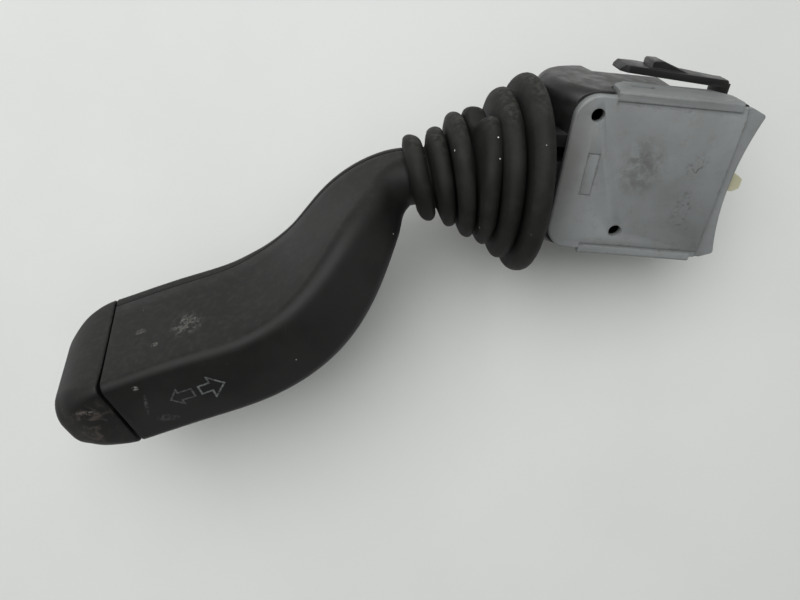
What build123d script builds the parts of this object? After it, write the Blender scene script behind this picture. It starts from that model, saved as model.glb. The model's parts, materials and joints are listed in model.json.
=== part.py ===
"""Column stalk switch: turn signal and headlamp dip lever with its switch body.

The frame sits on the lever axis in the plane of the boot's sealing flange.
+X runs inboard, the way the switch slides into its seat on the column.
+Z is the outward side of the grey cover. The curved handle reaches out along -X.
"""
import math
import os

from build123d import *

# ---------------------------------------------------------------- driving dimensions (mm)
# fits
run_gap = 0.05          # radial clearance of a running pin or plunger
seat_gap = 0.02         # radial clearance of a pin held in its own body
slide_gap = 0.2         # side clearance of a guided slider
free_gap = 0.4          # clearance between parts that only pass each other

# switch body
drum_x = 19.6           # axis of the drum-shaped front, parallel to Y
drum_z = -8.0
drum_r = 17.0           # radius of the drum
drum_round = 3.6        # rounding of the drum's end edges
shoulder_low = 15.6     # rear shoulder of the drum at the back
shoulder_knee = 21.0    # rear shoulder just below the cover's skirts
block_half = 17.9       # half width of the main block
nose_half = block_half + 1.7   # half width of the drum
block_end_x = 39.0      # rear face of the main block
neck_half = 14.5        # half width of the rear chamber
neck_end_x = 48.0       # rear face of the rear chamber
neck_floor_z = -9.0     # underside of the rear chamber
back_z = -25.0          # back of the housing
deck_z = 5.4            # top edge of the walls, where the cover sits
wall = 1.8              # housing wall
floor_t = 3.0           # housing floor
ledge_z = -11.0         # ledge that carries the bearing plate
ledge_w = 1.8           # width of that ledge
shelf_low_z = 2.4       # shelf under the cover's wing
shelf_top_z = 4.75
shelf_half = 19.4
shelf_x0 = 47.2
collar_y = -3.8         # collar that carries the boot
collar_z = -0.5
collar_r = 14.0
collar_bore_r = 11.4
collar_x = -1.6
collar_end_x = 13.6     # inner end of the collar, inside the drum

# latch arms
arm_out_tip = block_half + 6.2     # outer face of a latch arm at its free end
arm_out_root = arm_out_tip - 1.4   # outer face at its root
arm_t = 1.6             # arm thickness
arm_tip_x = 20.5        # free end
arm_root_x = 44.8       # front of the lug that carries the arm
arm_end_x = 48.0        # rear of that lug
arm_low_z = -11.5       # back edge of the arm
arm_top_z = -2.6        # front edge of the arm
lug_top_z = -4.0
lug_low_z = -8.2
barb_x = 28.0           # catch face of the barb
barb_flat = 2.6         # flat crest of the barb
barb_end_x = 38.0       # end of the barb's ramp
barb_out = arm_out_tip + 1.2       # crest of the barb from the centre plane
barb_low_z = -10.2
barb_top_z = -4.2

# cover
cover_x = 8.8           # front edge of the cover
cover_half = block_half + 1.1      # half width of the cover plate
cover_corner = 5.6      # front corner radius
cover_t = 2.2           # plate thickness
panel_half = cover_half - 1.8      # half width of the raised panel
panel_end_x = 48.2      # rear end of the panel and the start of the wing
panel_step = 0.45       # drop from the panel to the band beside it
wing_top_z = 6.6
wing_low_z = 4.8
wing_x = 53.1           # corners of the wing
wing_mid_x = 50.6       # middle of the wing's concave edge
wing_shoulder_x = 49.8  # where the wing's slanted corner begins
wing_half = cover_half - 1.3
wing_corner = 0.8
skirt_in = block_half + 0.2        # inner face of the side skirts
skirt_out = skirt_in + 2.2         # outer face of the side skirts
skirt_x0 = 17.6         # front end of the skirts
skirt_x1 = 46.8         # rear end of the skirts
skirt_low_z = -3.5      # lower edge of the skirts
skirt_cut = 4.2         # how far the skirts' ends slant
skirt_drop = 0.15       # top of the skirts below the panel
hole_r = 1.6            # two round holes through the cover
upper_hole = (14.0, 14.5)
lower_hole = (25.6, -13.4)
mark_x = 14.0           # shallow moulded frame on the panel
mark_len = 10.4
mark_w = 3.0
snap_x = 25.0           # snap lugs that hold the cover
snap_z = 0.8
snap_len = 5.0
snap_h = 1.2
snap_w = 2.0

# pivots and lever
turn_x = 18.0           # turn axis, parallel to Z
lever_droop = 8.3       # rest angle of the lever from the X axis, degrees
turn_swing = 13.0       # turn travel each way, degrees
beam_pull = 7.0         # beam travel towards the cover side, degrees
beam_push = 5.0         # beam travel away from it, degrees
pin_r = 1.25            # beam pin radius
pin_len = 14.4          # beam pin length
stem_r = 3.6            # lever stem radius
stem_reach = 48.0       # outer end of the stem from the turn axis
spigot_r = 4.5          # thicker outer end that the handle clamps
spigot_len = 12.0
tongue_half = 2.6       # half thickness of the tongue at the pivot
tongue_depth = 2.6      # half depth of the tongue
tongue_len = 12.0       # tongue length outboard of the pivot
eye_r = 3.0             # pivot eye radius
tail_r = 2.5            # tail that holds the detent plunger
tail_len = 8.5
finger_r = 1.5          # finger that drives the beam slider
finger_low_z = -14.6

# swivel carrier
cheek_in = 4.2          # inner face of the cheeks from the lever axis
hub_r = 7.6             # round body of the carrier
carrier_top_z = 4.2
carrier_low_z = -8.0
plate_low_t = 2.8       # thickness of the carrier's lower web
bridge_z = 3.3          # underside of the top bridge
sleeve_r = 6.0          # hollow lower trunnion
sleeve_bore_r = 3.6
stub_r = 2.5            # upper trunnion
stub_h = 2.6
peg_arm = 9.7           # distance of the turn peg from the turn axis
peg_r = 1.5
peg_low_z = -16.6
fork_reach = 21.2       # distance of the fork tips from the turn axis
fork_in = 7.6           # inner face of the prongs from the centre plane
fork_w = 2.2
fork_t = 1.0

# detent
plunger_r = 1.75
plunger_nose_r = 1.4
plunger_tip = 14.0      # tip of the plunger from the turn axis
plunger_root = 5.2
plunger_shoulder = 9.4
plunger_travel = 1.2
track_gap = 0.12        # tip to the crests between the notches
track_t = 3.2
track_half_angle = 20.0
notch_depth = 0.5
notch_r = 1.9

# bearing plate, sliders and contacts
plate_t = 2.0
base_t = 2.6            # terminal base thickness
lower_x = 12.2          # front end of the lower chamber
beam_slide_len = 6.6
beam_slide_half = 5.0
turn_slide_len = 5.4
turn_slide_half = 7.0
strip_t = 0.4           # fixed contact strips
brush_t = 0.5           # bridging contacts
brush_gap = 0.05
slider_gap_z = 0.7      # slider underside above the base
beam_slide_top_z = -13.0
turn_slide_top_z = -14.6
rib_t = 0.7
rib_h = 3.0
spring_pocket_r = 1.5
spring_pocket_h = 2.6
spring_wire = 0.25
blade_count = 7
blade_pitch = (block_half - 5.9) / 3
strip_out = block_half - 8.9       # outer end of the contact strips
blade_w = 2.8
blade_t = 0.8
blade_out = 10.0        # length of the blades behind the block
blade_in = 4.0

# cancel pawl
pawl_x = 43.0
pawl_y = 0.5
pawl_hub_r = 3.2
pawl_pin_r = 1.3
pawl_tip_x = 54.6
pawl_head_w = 4.2
pawl_low_z = 1.4
pawl_top_z = 4.4
pawl_hub_low_z = -1.4
pawl_tail_w = 2.4
pawl_tail_x = 38.2
pawl_swing = 15.0
hair_wire = 0.3         # centring spring wire radius
hair_z = -0.75

pawl_neck_r = 1.95      # waist of the pawl's hub, inside the hairpin
pawl_boss_top_z = 4.9

# boot: rolls from the handle's end to the flange
flange_r = 24.0
flange_bead = 2.5
flange_y = -3.8
flange_z = -0.5
flange_web = 1.3        # half thickness of the flange's web
# the first roll is square to the flange, the others sit on a drooping axis
roll_near = (4.8, 20.9)             # distance from the flange, outer radius
bend_at = (-6.9, -4.1, 0.1)         # where the boot's axis begins to droop
bend_angle = 8.0
rolls_far = ((2.6, 17.5), (7.2, 15.3), (11.5, 12.6), (16.4, 10.7))
roll_tube = 2.0         # radius of the rolled edges
roll_valley = 3.3       # depth of the valleys
boot_wall = 1.3
boot_mouth = 19.0       # end of the boot from the bend

# handle
neck_r = 6.9            # round neck of the handle
clamp_r = 5.6           # tube inside the shells that holds the spigot
clamp_len = 4.0         # length of that tube beyond the round neck
handle_wall = 1.9
seam_gap = 0.1
cap_gap = 0.35
cap_plug = 4.0          # how far the cap plugs into the shells
depth_lean = (0.19, -0.11, 0.97)
# stations of the handle: outward, downward and towards the cover side,
# then the section's height, depth, corner radius and the depth of the rear shell
stations = (
    (26.7, 6.7, 0.0, 14.2, 14.2, 7.05, 3.7),
    (32.3, 9.4, 0.9, 14.0, 20.8, 5.8, 3.8),
    (38.0, 15.0, 4.6, 14.4, 27.0, 5.2, 3.9),
    (43.8, 24.2, 10.6, 16.8, 31.6, 4.9, 4.0),
    (50.8, 33.1, 15.6, 19.2, 33.4, 4.6, 4.0),
    (62.3, 41.0, 19.8, 20.2, 33.3, 4.4, 4.0),
    (75.1, 45.8, 22.4, 20.6, 32.6, 4.3, 4.0),
    (91.4, 52.2, 24.8, 20.3, 32.6, 4.2, 4.0),
)
station_splits = 3      # sections drawn per span of the handle
# end cap sections: distance past the seam, height, depth, corner radius,
# shift across the height and towards the cover side
cap_sections = (
    (3.0, 20.2, 32.5, 4.5, 0.0, 0.0),
    (6.5, 19.7, 32.1, 4.9, 0.1, 0.1),
    (9.5, 18.4, 30.8, 5.4, 0.3, 0.5),
    (12.0, 16.2, 28.4, 5.4, 0.5, 1.1),
    (13.8, 13.2, 25.4, 4.8, 0.7, 1.7),
    (14.8, 9.6, 21.6, 3.6, 0.9, 2.1),
)

# ---------------------------------------------------------------- worked out from these
cover_top_z = deck_z + cover_t
cavity_x0 = drum_x - drum_r + wall
cavity_x1 = block_end_x - wall
upper_half = block_half - wall
lower_half = upper_half - ledge_w
base_low_z = back_z + floor_t
base_top_z = base_low_z + base_t
plate_top_z = ledge_z + plate_t
slider_low_z = base_top_z + slider_gap_z
peg_x = turn_x + peg_arm
hair_post_x = pawl_tail_x + 1.3
track_r = plunger_tip + track_gap


# ---------------------------------------------------------------- helpers
def block(x0, x1, y0, y1, z0, z1):
    """Box given by its limits."""
    size = Box(x1 - x0, y1 - y0, z1 - z0)
    return Pos((x0 + x1) / 2, (y0 + y1) / 2, (z0 + z1) / 2) * size


def post(x, y, z0, z1, radius):
    """Upright cylinder."""
    return Pos(x, y, (z0 + z1) / 2) * Cylinder(radius, z1 - z0)


def rod(u0, u1, radius, v=0.0, w=0.0):
    """Cylinder along X."""
    return Pos((u0 + u1) / 2, v, w) * Rot(0, 90, 0) * Cylinder(radius, u1 - u0)


def cross_rod(u, v0, v1, radius, w=0.0):
    """Cylinder along Y."""
    return Pos(u, (v0 + v1) / 2, w) * Rot(90, 0, 0) * Cylinder(radius, v1 - v0)


def prism_y(points, y0, y1):
    """Outline in the XZ plane, extruded from y0 to y1."""
    face = Plane.XZ * make_face(Polyline(*points, close=True))
    return Pos(0, y0, 0) * extrude(face, -(y1 - y0))


def both_sides(part):
    """The part and its mirror image across the lever plane."""
    return part + mirror(part, Plane.XZ)


def on_lever(part):
    """Places a part built along X at the origin on the drooping lever axis."""
    return Pos(turn_x, 0, 0) * Rot(0, 0, lever_droop) * part


def save(part, name):
    """Writes one node."""
    part.label = name
    export_step(part, f"parts/{name}.step")


# ---------------------------------------------------------------- switch body
def drum_top_x(radius):
    """Where a drum of this radius meets the deck."""
    return drum_x - math.sqrt(radius**2 - (deck_z - drum_z) ** 2)


def side_profile(radius, low_z, end_x):
    """Side view of the body: a quarter drum in front, straight behind."""
    low_x = drum_x - math.sqrt(max(radius**2 - (low_z - drum_z) ** 2, 0))
    top_x = drum_top_x(radius)
    front = ThreePointArc((top_x, deck_z), (drum_x - radius, drum_z), (low_x, low_z))
    rest = Polyline((low_x, low_z), (end_x, low_z), (end_x, deck_z), (top_x, deck_z))
    return make_face([front, rest])


def slab_y(face_xz, half):
    """Side view extruded to both sides of the centre plane."""
    return Pos(0, -half, 0) * extrude(Plane.XZ * face_xz, -2 * half)


def nose():
    """Drum-shaped front of the housing, wider than the block behind it."""
    drum = slab_y(side_profile(drum_r, back_z, shoulder_knee + 1), nose_half)
    far = shoulder_knee + 2
    drum -= prism_y((
        (skirt_x0 - free_gap, deck_z),
        (skirt_x0 - free_gap + 0.5, skirt_low_z + skirt_cut - 0.2),
        (shoulder_knee, skirt_low_z - free_gap),
        (shoulder_knee - 0.4, skirt_low_z - 1.5),
        (shoulder_low, back_z),
        (far, back_z),
        (far, deck_z),
    ), -nose_half, nose_half)
    ends = drum.faces().group_by(Axis.Y)
    rim = ends[0].edges() + ends[-1].edges()
    return fillet(rim.filter_by(GeomType.CIRCLE), drum_round)


def collar():
    """Ring in front of the drum that the boot's flange is pushed on to."""
    tube = rod(collar_x, collar_end_x, collar_r, collar_y, collar_z)
    tube -= rod(collar_x, collar_end_x, collar_bore_r, collar_y, collar_z)
    return tube - block(drum_x - drum_r, drum_x, -nose_half - 5, nose_half + 5, deck_z, collar_r)


def latch_arm():
    """Springing arm with its barb, on the +Y side."""
    tip = arm_out_tip
    root = arm_out_root
    plan = make_face(Polyline(
        (arm_tip_x, tip - 1.0), (arm_tip_x + 1.0, tip), (arm_end_x - 1.0, root),
        (arm_end_x, root - 0.8), (arm_end_x, root - arm_t), (arm_root_x, root - arm_t),
        (arm_tip_x, tip - arm_t), close=True,
    ))
    arm = Pos(0, 0, arm_low_z) * extrude(plan, arm_top_z - arm_low_z)
    side = (
        (arm_tip_x, arm_low_z + 1.6), (arm_tip_x, arm_top_z - 1.2), (arm_tip_x + 1.6, arm_top_z),
        (arm_root_x - 6, arm_top_z - 0.4), (arm_root_x, lug_top_z + 0.6),
        (arm_end_x - 0.6, lug_top_z), (arm_end_x, lug_top_z - 0.8), (arm_end_x, lug_low_z),
        (arm_root_x, lug_low_z), (barb_end_x, arm_low_z + 0.8), (arm_tip_x + 5, arm_low_z),
    )
    arm &= prism_y(side, neck_half, barb_out)
    ramp = make_face(Polyline(
        (barb_x, tip - arm_t / 2), (barb_x, barb_out - 0.4), (barb_x + 0.4, barb_out),
        (barb_x + barb_flat, barb_out), (barb_end_x, root + 0.3), (barb_end_x, root - arm_t / 2),
        close=True,
    ))
    barb = Pos(0, 0, barb_low_z) * extrude(ramp, barb_top_z - barb_low_z)
    lug = block(arm_root_x, arm_end_x, neck_half - wall, root - arm_t / 2, lug_low_z, lug_top_z)
    return arm + lug + barb


def snap_lug():
    """Small wedge that the cover's window snaps over, on the +Y side."""
    wedge = Polyline(
        (block_half - 0.5, snap_z - snap_w / 2), (block_half + snap_h, snap_z - snap_w / 2),
        (block_half - 0.5, snap_z + snap_w / 2), close=True,
    )
    face = Plane.YZ * make_face(wedge)
    return Pos(snap_x - snap_len / 2, 0, 0) * extrude(face, snap_len)


def wing_face(inset):
    """Plan of the wing's concave rear edge, drawn in by an inset."""
    x = wing_x - inset
    y = wing_half - inset / 2
    rear = ThreePointArc((x, y), (wing_mid_x - inset, 0), (x, -y))
    shoulder = wing_shoulder_x - inset
    front = panel_end_x - 0.1 if inset == 0 else shelf_x0
    half = cover_half if inset == 0 else shelf_half
    rest = Polyline((x, -y), (shoulder, -half), (front, -half), (front, half), (shoulder, half), (x, y))
    return make_face([rear, rest])


def shelf():
    """Shelf behind the rear chamber that supports the cover's wing."""
    plate = Pos(0, 0, shelf_low_z) * extrude(wing_face(0.9), shelf_top_z - shelf_low_z)
    side = block(arm_root_x, shelf_x0 + 1, neck_half - wall, block_half, shelf_low_z, shelf_top_z)
    return plate + both_sides(side)


def blade_ys():
    """Side positions of the blade terminals."""
    first = -blade_pitch * (blade_count - 1) / 2
    return [first + blade_pitch * i for i in range(blade_count)]


def pawl_sway(x):
    """Half width swept by the pawl's head at this position."""
    return (x - pawl_x) * math.tan(math.radians(pawl_swing)) + pawl_head_w / 2 + free_gap


def make_housing():
    body = nose()
    body += block(shoulder_low, block_end_x, -block_half, block_half, back_z, deck_z)
    body &= slab_y(side_profile(drum_r, back_z, block_end_x), nose_half + 1)
    body += collar()
    neck_in = neck_half - wall
    body += block(cavity_x1, neck_end_x, -neck_half, neck_half, neck_floor_z, deck_z)
    body += shelf()
    body += both_sides(latch_arm())
    body += both_sides(snap_lug())
    # chambers
    inner = side_profile(drum_r - wall, ledge_z, cavity_x1)
    body -= slab_y(inner, upper_half)
    body -= block(lower_x, cavity_x1, -lower_half, lower_half, base_low_z, ledge_z)
    body -= block(block_end_x, neck_end_x - wall, -neck_in, neck_in, neck_floor_z + wall, deck_z)
    # doorway between the main chamber and the rear chamber
    door = neck_in + 1.6
    body -= block(cavity_x1, block_end_x, -door, door, pawl_hub_low_z, deck_z)
    # slot in the rear wall and the shelf for the pawl
    x0 = neck_end_x - wall
    slot = make_face(Polyline(
        (x0, pawl_sway(x0)), (wing_x, pawl_sway(wing_x)), (wing_x, -pawl_sway(wing_x)),
        (x0, -pawl_sway(x0)), close=True,
    ))
    low = pawl_low_z - free_gap
    body -= Pos(0, pawl_y, low) * extrude(slot, deck_z - low)
    # mouth for the lever
    body -= lever_mouth()
    # post under the pawl, its pin's socket and the post that the hairpin spring grips
    body += post(pawl_x, pawl_y, neck_floor_z + wall, pawl_hub_low_z - 0.2, pawl_hub_r - 0.2)
    body -= post(pawl_x, pawl_y, neck_floor_z + wall - 0.6, deck_z, pawl_pin_r + seat_gap)
    stop = pawl_tail_w / 2
    body += block(hair_post_x, hair_post_x + 1.0, pawl_y - stop, pawl_y + stop,
                  neck_floor_z + wall - 0.5, hair_z + hair_wire)
    # windows for the blades
    for y in blade_ys():
        body -= block(cavity_x1, block_end_x, y - blade_w / 2, y + blade_w / 2,
                      blade_low_z(), blade_low_z() + blade_t)
    return body


def lever_mouth():
    """Opening in the front wall, sized for the stem at the ends of its travel."""
    arm = turn_x - (drum_x - drum_r)
    down = arm * math.tan(math.radians(lever_droop + turn_swing))
    up = arm * math.tan(math.radians(lever_droop - turn_swing))
    tilt = arm * math.tan(math.radians(max(beam_pull, beam_push)))
    room = stem_r + free_gap
    half_z = tilt + stem_r / math.cos(math.radians(beam_pull)) + 0.2
    return block(collar_x, turn_x - hub_r, -down - room - 0.6, -up + room + 0.6, -half_z, half_z)


def blade_low_z():
    return base_low_z + (base_t - blade_t) / 2


def make_cover():
    top = cover_top_z - skirt_drop
    skirt_side = (
        (skirt_x0, top),
        (skirt_x0 + 0.6, skirt_low_z + skirt_cut),
        (skirt_x0 + skirt_cut, skirt_low_z),
        (skirt_x1 - skirt_cut, skirt_low_z),
        (skirt_x1, skirt_low_z + skirt_cut),
        (skirt_x1, top),
    )
    skirt = prism_y(skirt_side, skirt_in, skirt_out)
    skirt = chamfer(skirt.faces().sort_by(Axis.Y)[-1].edges().sort_by(Axis.Z)[-1], 0.6)
    window = block(snap_x - snap_len / 2 - 0.2, snap_x + snap_len / 2 + 0.2,
                   skirt_in, skirt_out, snap_z - snap_w / 2 - 0.3, snap_z + snap_w / 2 + 0.2)
    cover = cover_plate() + both_sides(skirt - window)
    # bearing pocket for the carrier's upper trunnion
    cover -= post(turn_x, 0, deck_z, carrier_top_z + stub_h + 0.1, stub_r + run_gap)
    # end support of the pawl pin
    cover -= post(pawl_x, pawl_y, deck_z, deck_z + 1.0, pawl_pin_r + seat_gap)
    for x, y in (upper_hole, lower_hole):
        cover -= post(x, y, deck_z, cover_top_z, hole_r)
    return cover


def cover_plate():
    """Flat plate with its raised panel, its moulded frame and the concave wing."""
    length = panel_end_x - cover_x
    outline = Pos(cover_x + length / 2, 0) * Rectangle(length, 2 * cover_half)
    outline = fillet(outline.vertices().group_by(Axis.X)[0], cover_corner)
    plate = Pos(0, 0, deck_z) * extrude(outline, cover_t)
    front = chamfer(plate.faces().sort_by(Axis.Z)[-1].edges().group_by(Axis.X)[0], 0.4)
    for side in (-1, 1):
        band = (panel_half * side, (cover_half + 1) * side)
        front -= block(skirt_x0, panel_end_x, min(band), max(band), cover_top_z - panel_step, cover_top_z)
    wing = wing_face(0)
    wing = fillet(wing.vertices().group_by(Axis.X)[-1], wing_corner)
    plate = front + Pos(0, 0, wing_low_z) * extrude(wing, wing_top_z - wing_low_z)
    frame = Rectangle(mark_w, mark_len) - Rectangle(mark_w - 0.6, mark_len - 0.6)
    groove = Pos(mark_x + mark_w / 2, 0.5, cover_top_z - 0.2) * extrude(frame, 0.2)
    return plate - groove


# ---------------------------------------------------------------- contacts
def guide_rib(x0, x1, y0, y1):
    return block(x0, x1, y0, y1, base_top_z, base_top_z + rib_h)


def beam_travel_room():
    """Travel of the beam slider each way, with room to spare."""
    return -beam_drive_z() * math.tan(math.radians(beam_pull)) + 0.3


def beam_drive_z():
    """Height at which the finger drives the beam slider."""
    return (finger_low_z + beam_slide_top_z) / 2


def turn_slide_x0():
    return peg_x - turn_slide_len / 2


def make_terminal_base():
    """Moulded plate that carries the contacts and guides both sliders."""
    gap = 0.1
    half = lower_half - gap
    base = block(lower_x + gap, cavity_x1, -half, half, base_low_z, base_top_z)
    x0 = turn_slide_x0() - slide_gap
    x1 = turn_slide_x0() + turn_slide_len + slide_gap
    reach = turn_slide_half + peg_arm * math.sin(math.radians(turn_swing)) + 1
    base += guide_rib(x0 - rib_t, x0, -reach, reach)
    base += guide_rib(x1, x1 + rib_t, -reach, reach)
    side = beam_slide_half + slide_gap
    length = beam_slide_len / 2 + beam_travel_room()
    for y in (side, -side - rib_t):
        base += guide_rib(turn_x - length, x0 - rib_t, y, y + rib_t)
    base -= contact_strips(0)
    base -= blades()
    return base


def contact_strips(lift):
    """Fixed strips let into the base: three under each slider."""
    z1 = base_top_z + lift
    z0 = base_top_z - strip_t
    strips = []
    mid = turn_slide_x0() + turn_slide_len / 2
    for x in (mid - 1.6, mid + 1.6):
        strips.append(block(x - 0.7, x + 0.7, -strip_out, -0.8, z0, z1))
        strips.append(block(x - 0.7, x + 0.7, 0.8, strip_out, z0, z1))
    for y in (-3.0, 3.0):
        strips.append(block(turn_x - 5.2, turn_x - 0.6, y - 0.8, y + 0.8, z0, z1))
        strips.append(block(turn_x + 0.6, turn_x + 5.0, y - 0.8, y + 0.8, z0, z1))
    return Compound(strips)


def blades():
    """Row of flat blade terminals through the rear wall."""
    z0 = blade_low_z()
    tabs = []
    for y in blade_ys():
        tab = block(cavity_x1 - blade_in, block_end_x + blade_out, y - blade_w / 2, y + blade_w / 2,
                    z0, z0 + blade_t)
        corners = tab.edges().filter_by(Axis.Z).group_by(Axis.X)[-1]
        tabs.append(chamfer(corners, blade_w * 0.25))
    return Compound(tabs)


def make_bearing_plate():
    """Plate on the ledge: bearing for the carrier, slots for peg and pawl side."""
    gap = 0.1
    half = upper_half - gap
    front = drum_x - math.sqrt((drum_r - wall) ** 2 - (ledge_z - drum_z) ** 2)
    plate = block(front + gap, cavity_x1 - gap, -half, half, ledge_z, plate_top_z)
    plate -= post(turn_x, 0, ledge_z, plate_top_z, sleeve_r + run_gap)
    swing = peg_arm * math.sin(math.radians(turn_swing)) + peg_r + free_gap
    slot = block(peg_x - peg_r - 1, peg_x + peg_r + free_gap, -swing, swing, ledge_z, plate_top_z)
    return plate - slot


def make_turn_slider():
    x0 = turn_slide_x0()
    x1 = x0 + turn_slide_len
    slider = block(x0, x1, -turn_slide_half, turn_slide_half, slider_low_z, turn_slide_top_z)
    top = slider.edges().group_by(Axis.Z)[-1].filter_by(Axis.X)
    slider = chamfer(top, 0.8)
    play = peg_r + run_gap
    slider -= block(x0 + 0.5, x1 - 0.5, -play, play, peg_low_z - 0.3, turn_slide_top_z)
    for y in (-4.6, 4.6):
        slider -= post(peg_x, y, slider_low_z, slider_low_z + spring_pocket_h, spring_pocket_r)
    return slider


def make_turn_brushes():
    """Bridging contacts under the turn slider."""
    z0 = base_top_z + brush_gap
    parts = []
    for y in (-4.6, 4.6):
        strip = block(peg_x - 2.4, peg_x + 2.4, y - 1.2, y + 1.2, z0, z0 + brush_t)
        parts.append(fillet(strip.edges().filter_by(Axis.Z), 0.6))
    return Compound(parts)


def make_beam_slider():
    half = beam_slide_len / 2
    slider = block(turn_x - half, turn_x + half, -beam_slide_half, beam_slide_half,
                   slider_low_z, beam_slide_top_z)
    top = slider.edges().group_by(Axis.Z)[-1].filter_by(Axis.X)
    slider = chamfer(top, 0.8)
    play = finger_r + 0.2
    depth = finger_low_z - 0.5
    slider -= block(turn_x - play, turn_x + play, -play - 0.9, play + 0.9, depth, beam_slide_top_z)
    for y in (-3.0, 3.0):
        slider -= post(turn_x, y, slider_low_z, slider_low_z + spring_pocket_h, spring_pocket_r)
    return slider


def make_beam_brushes():
    z0 = base_top_z + brush_gap
    parts = []
    for y in (-3.0, 3.0):
        strip = block(turn_x - 2.6, turn_x + 2.6, y - 0.9, y + 0.9, z0, z0 + brush_t)
        parts.append(fillet(strip.edges().filter_by(Axis.Z), 0.6))
    return Compound(parts)


def coil(radius, wire, length, turns):
    """Round-wire compression spring along Z from the origin."""
    pitch = (length - 2 * wire) / turns
    path = Pos(0, 0, wire) * Helix(pitch, length - 2 * wire, radius)
    section = Plane(path @ 0, z_dir=path % 0) * Circle(wire)
    return sweep(section, path=path, is_frenet=True)


def brush_spring():
    z0 = base_top_z + brush_gap + brush_t
    length = slider_low_z + spring_pocket_h - z0
    return Pos(0, 0, z0) * coil(spring_pocket_r - spring_wire - 0.15, spring_wire, length, 3.5)


def make_brush_springs(x, offset):
    parts = []
    for y in (-offset, offset):
        parts.append(Pos(x, y, 0) * brush_spring())
    return Compound(parts)


# ---------------------------------------------------------------- carrier and lever
def make_swivel_carrier():
    """Yoke that turns in the bearing plate and in the cover and holds the beam pin."""
    hub = post(turn_x, 0, carrier_low_z, carrier_top_z, hub_r)
    rear = block(turn_x, peg_x + peg_r, -cheek_in - 2, cheek_in + 2, carrier_low_z,
                 carrier_low_z + plate_low_t)
    body = hub + rear
    web_z = carrier_low_z + plate_low_t
    far = 2 * hub_r
    body -= on_lever(block(-far, far, -cheek_in, cheek_in, web_z, bridge_z))
    body -= on_lever(block(-far, -eye_r - 0.8, -cheek_in, cheek_in, web_z, carrier_top_z))
    body -= on_lever(block(eye_r + 1.6, far, -cheek_in, cheek_in, web_z, carrier_top_z))
    body -= on_lever(cross_rod(0, -far, far, pin_r + seat_gap))
    body += post(turn_x, 0, carrier_top_z, carrier_top_z + stub_h, stub_r)
    body += post(turn_x, 0, ledge_z, carrier_low_z, sleeve_r)
    body -= post(turn_x, 0, ledge_z, web_z, sleeve_bore_r)
    body += post(peg_x, 0, peg_low_z, carrier_low_z, peg_r)
    return body + fork()


def fork():
    """Two prongs that reach back on either side of the pawl's tail."""
    z0 = carrier_top_z - fork_t
    prongs = Part()
    for side in (-1, 1):
        y = side * (fork_in + fork_w / 2)
        prongs += block(turn_x + 1, turn_x + fork_reach, y - fork_w / 2, y + fork_w / 2,
                        z0, carrier_top_z)
        inner = side * (cheek_in + 1.2)
        prongs += block(turn_x - 1, turn_x + 5, min(inner, y), max(inner, y), z0, carrier_top_z)
    return prongs


def make_lever_stem():
    """Stem with its eye, its drooping spigot, the tail tube and the drive finger."""
    stem = rod(-stem_reach, -tongue_len, stem_r)
    stem += rod(-stem_reach, -stem_reach + spigot_len, spigot_r)
    stem += block(-tongue_len - 2, 1, -tongue_half, tongue_half, -tongue_depth, tongue_depth)
    stem += cross_rod(0, -tongue_half, tongue_half, eye_r)
    stem += rod(0, tail_len, tail_r)
    stem += Pos(0, 0, finger_low_z / 2) * Cylinder(finger_r, -finger_low_z)
    stem -= cross_rod(0, -tongue_half, tongue_half, pin_r + run_gap)
    stem -= rod(pin_r + 1.1, tail_len, plunger_r + run_gap)
    flat = spigot_r - 0.8
    for side in (-1, 1):
        band = (flat * side, spigot_r * side)
        stem -= block(-stem_reach, -stem_reach + 7, min(band), max(band), -spigot_r, spigot_r)
    return on_lever(stem)


def make_beam_pin():
    pin = cross_rod(0, -pin_len / 2, pin_len / 2, pin_r)
    pin = chamfer(pin.edges(), 0.3)
    return on_lever(pin)


def make_beam_return_spring():
    """Torsion spring on the beam pin, between tongue and cheek."""
    wire = 0.3
    room = cheek_in - tongue_half
    ring = Pos(0, tongue_half + room / 2, 0) * Rot(90, 0, 0)
    turns = Part()
    radius = pin_r + 0.25 + wire
    for offset in (-wire * 0.95, wire * 0.95):
        turns += ring * Pos(0, 0, offset) * Torus(radius, wire)
    y = tongue_half + room / 2
    leg_low = Pos(radius, y + wire * 0.95, -1.6) * Cylinder(wire, 3.2)
    leg_out = Pos(-2.2, y - wire * 0.95, radius) * Rot(0, 90, 0) * Cylinder(wire, 4.4)
    return on_lever(turns + leg_low + leg_out)


def make_detent_plunger():
    body = rod(plunger_root, plunger_shoulder, plunger_r)
    straight = plunger_tip - plunger_nose_r
    body += rod(plunger_shoulder, straight, plunger_nose_r)
    body += Pos(straight, 0, 0) * Sphere(plunger_nose_r)
    return on_lever(body)


def make_detent_spring():
    start = pin_r + 1.1
    length = plunger_root - start
    spring = coil(plunger_r - spring_wire - 0.15, spring_wire, length, 4)
    return on_lever(Pos(start, 0, 0) * Rot(0, 90, 0) * spring)


def make_detent_track():
    """Notched arc that the plunger rides on: centre, left and right rest."""
    outer = track_r + track_t
    ring = Cylinder(outer, carrier_top_z - fork_t - free_gap - plate_top_z)
    tall = (carrier_top_z - fork_t - free_gap - plate_top_z) / 2
    ring = Pos(0, 0, plate_top_z + tall) * (ring - Cylinder(track_r, 3 * tall))
    spread = outer * math.tan(math.radians(track_half_angle))
    wedge = make_face(Polyline((0, 0), (outer, spread), (outer + 2, 0), (outer, -spread), close=True))
    track = ring & (Pos(0, 0, plate_top_z) * extrude(wedge, 2 * tall))
    for angle in (-turn_swing, 0, turn_swing):
        centre = track_r + notch_depth - notch_r
        notch = Cylinder(notch_r, 4 * tall)
        track -= Rot(0, 0, angle) * Pos(centre, 0, plate_top_z + tall) * notch
    return on_lever(track)


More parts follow.
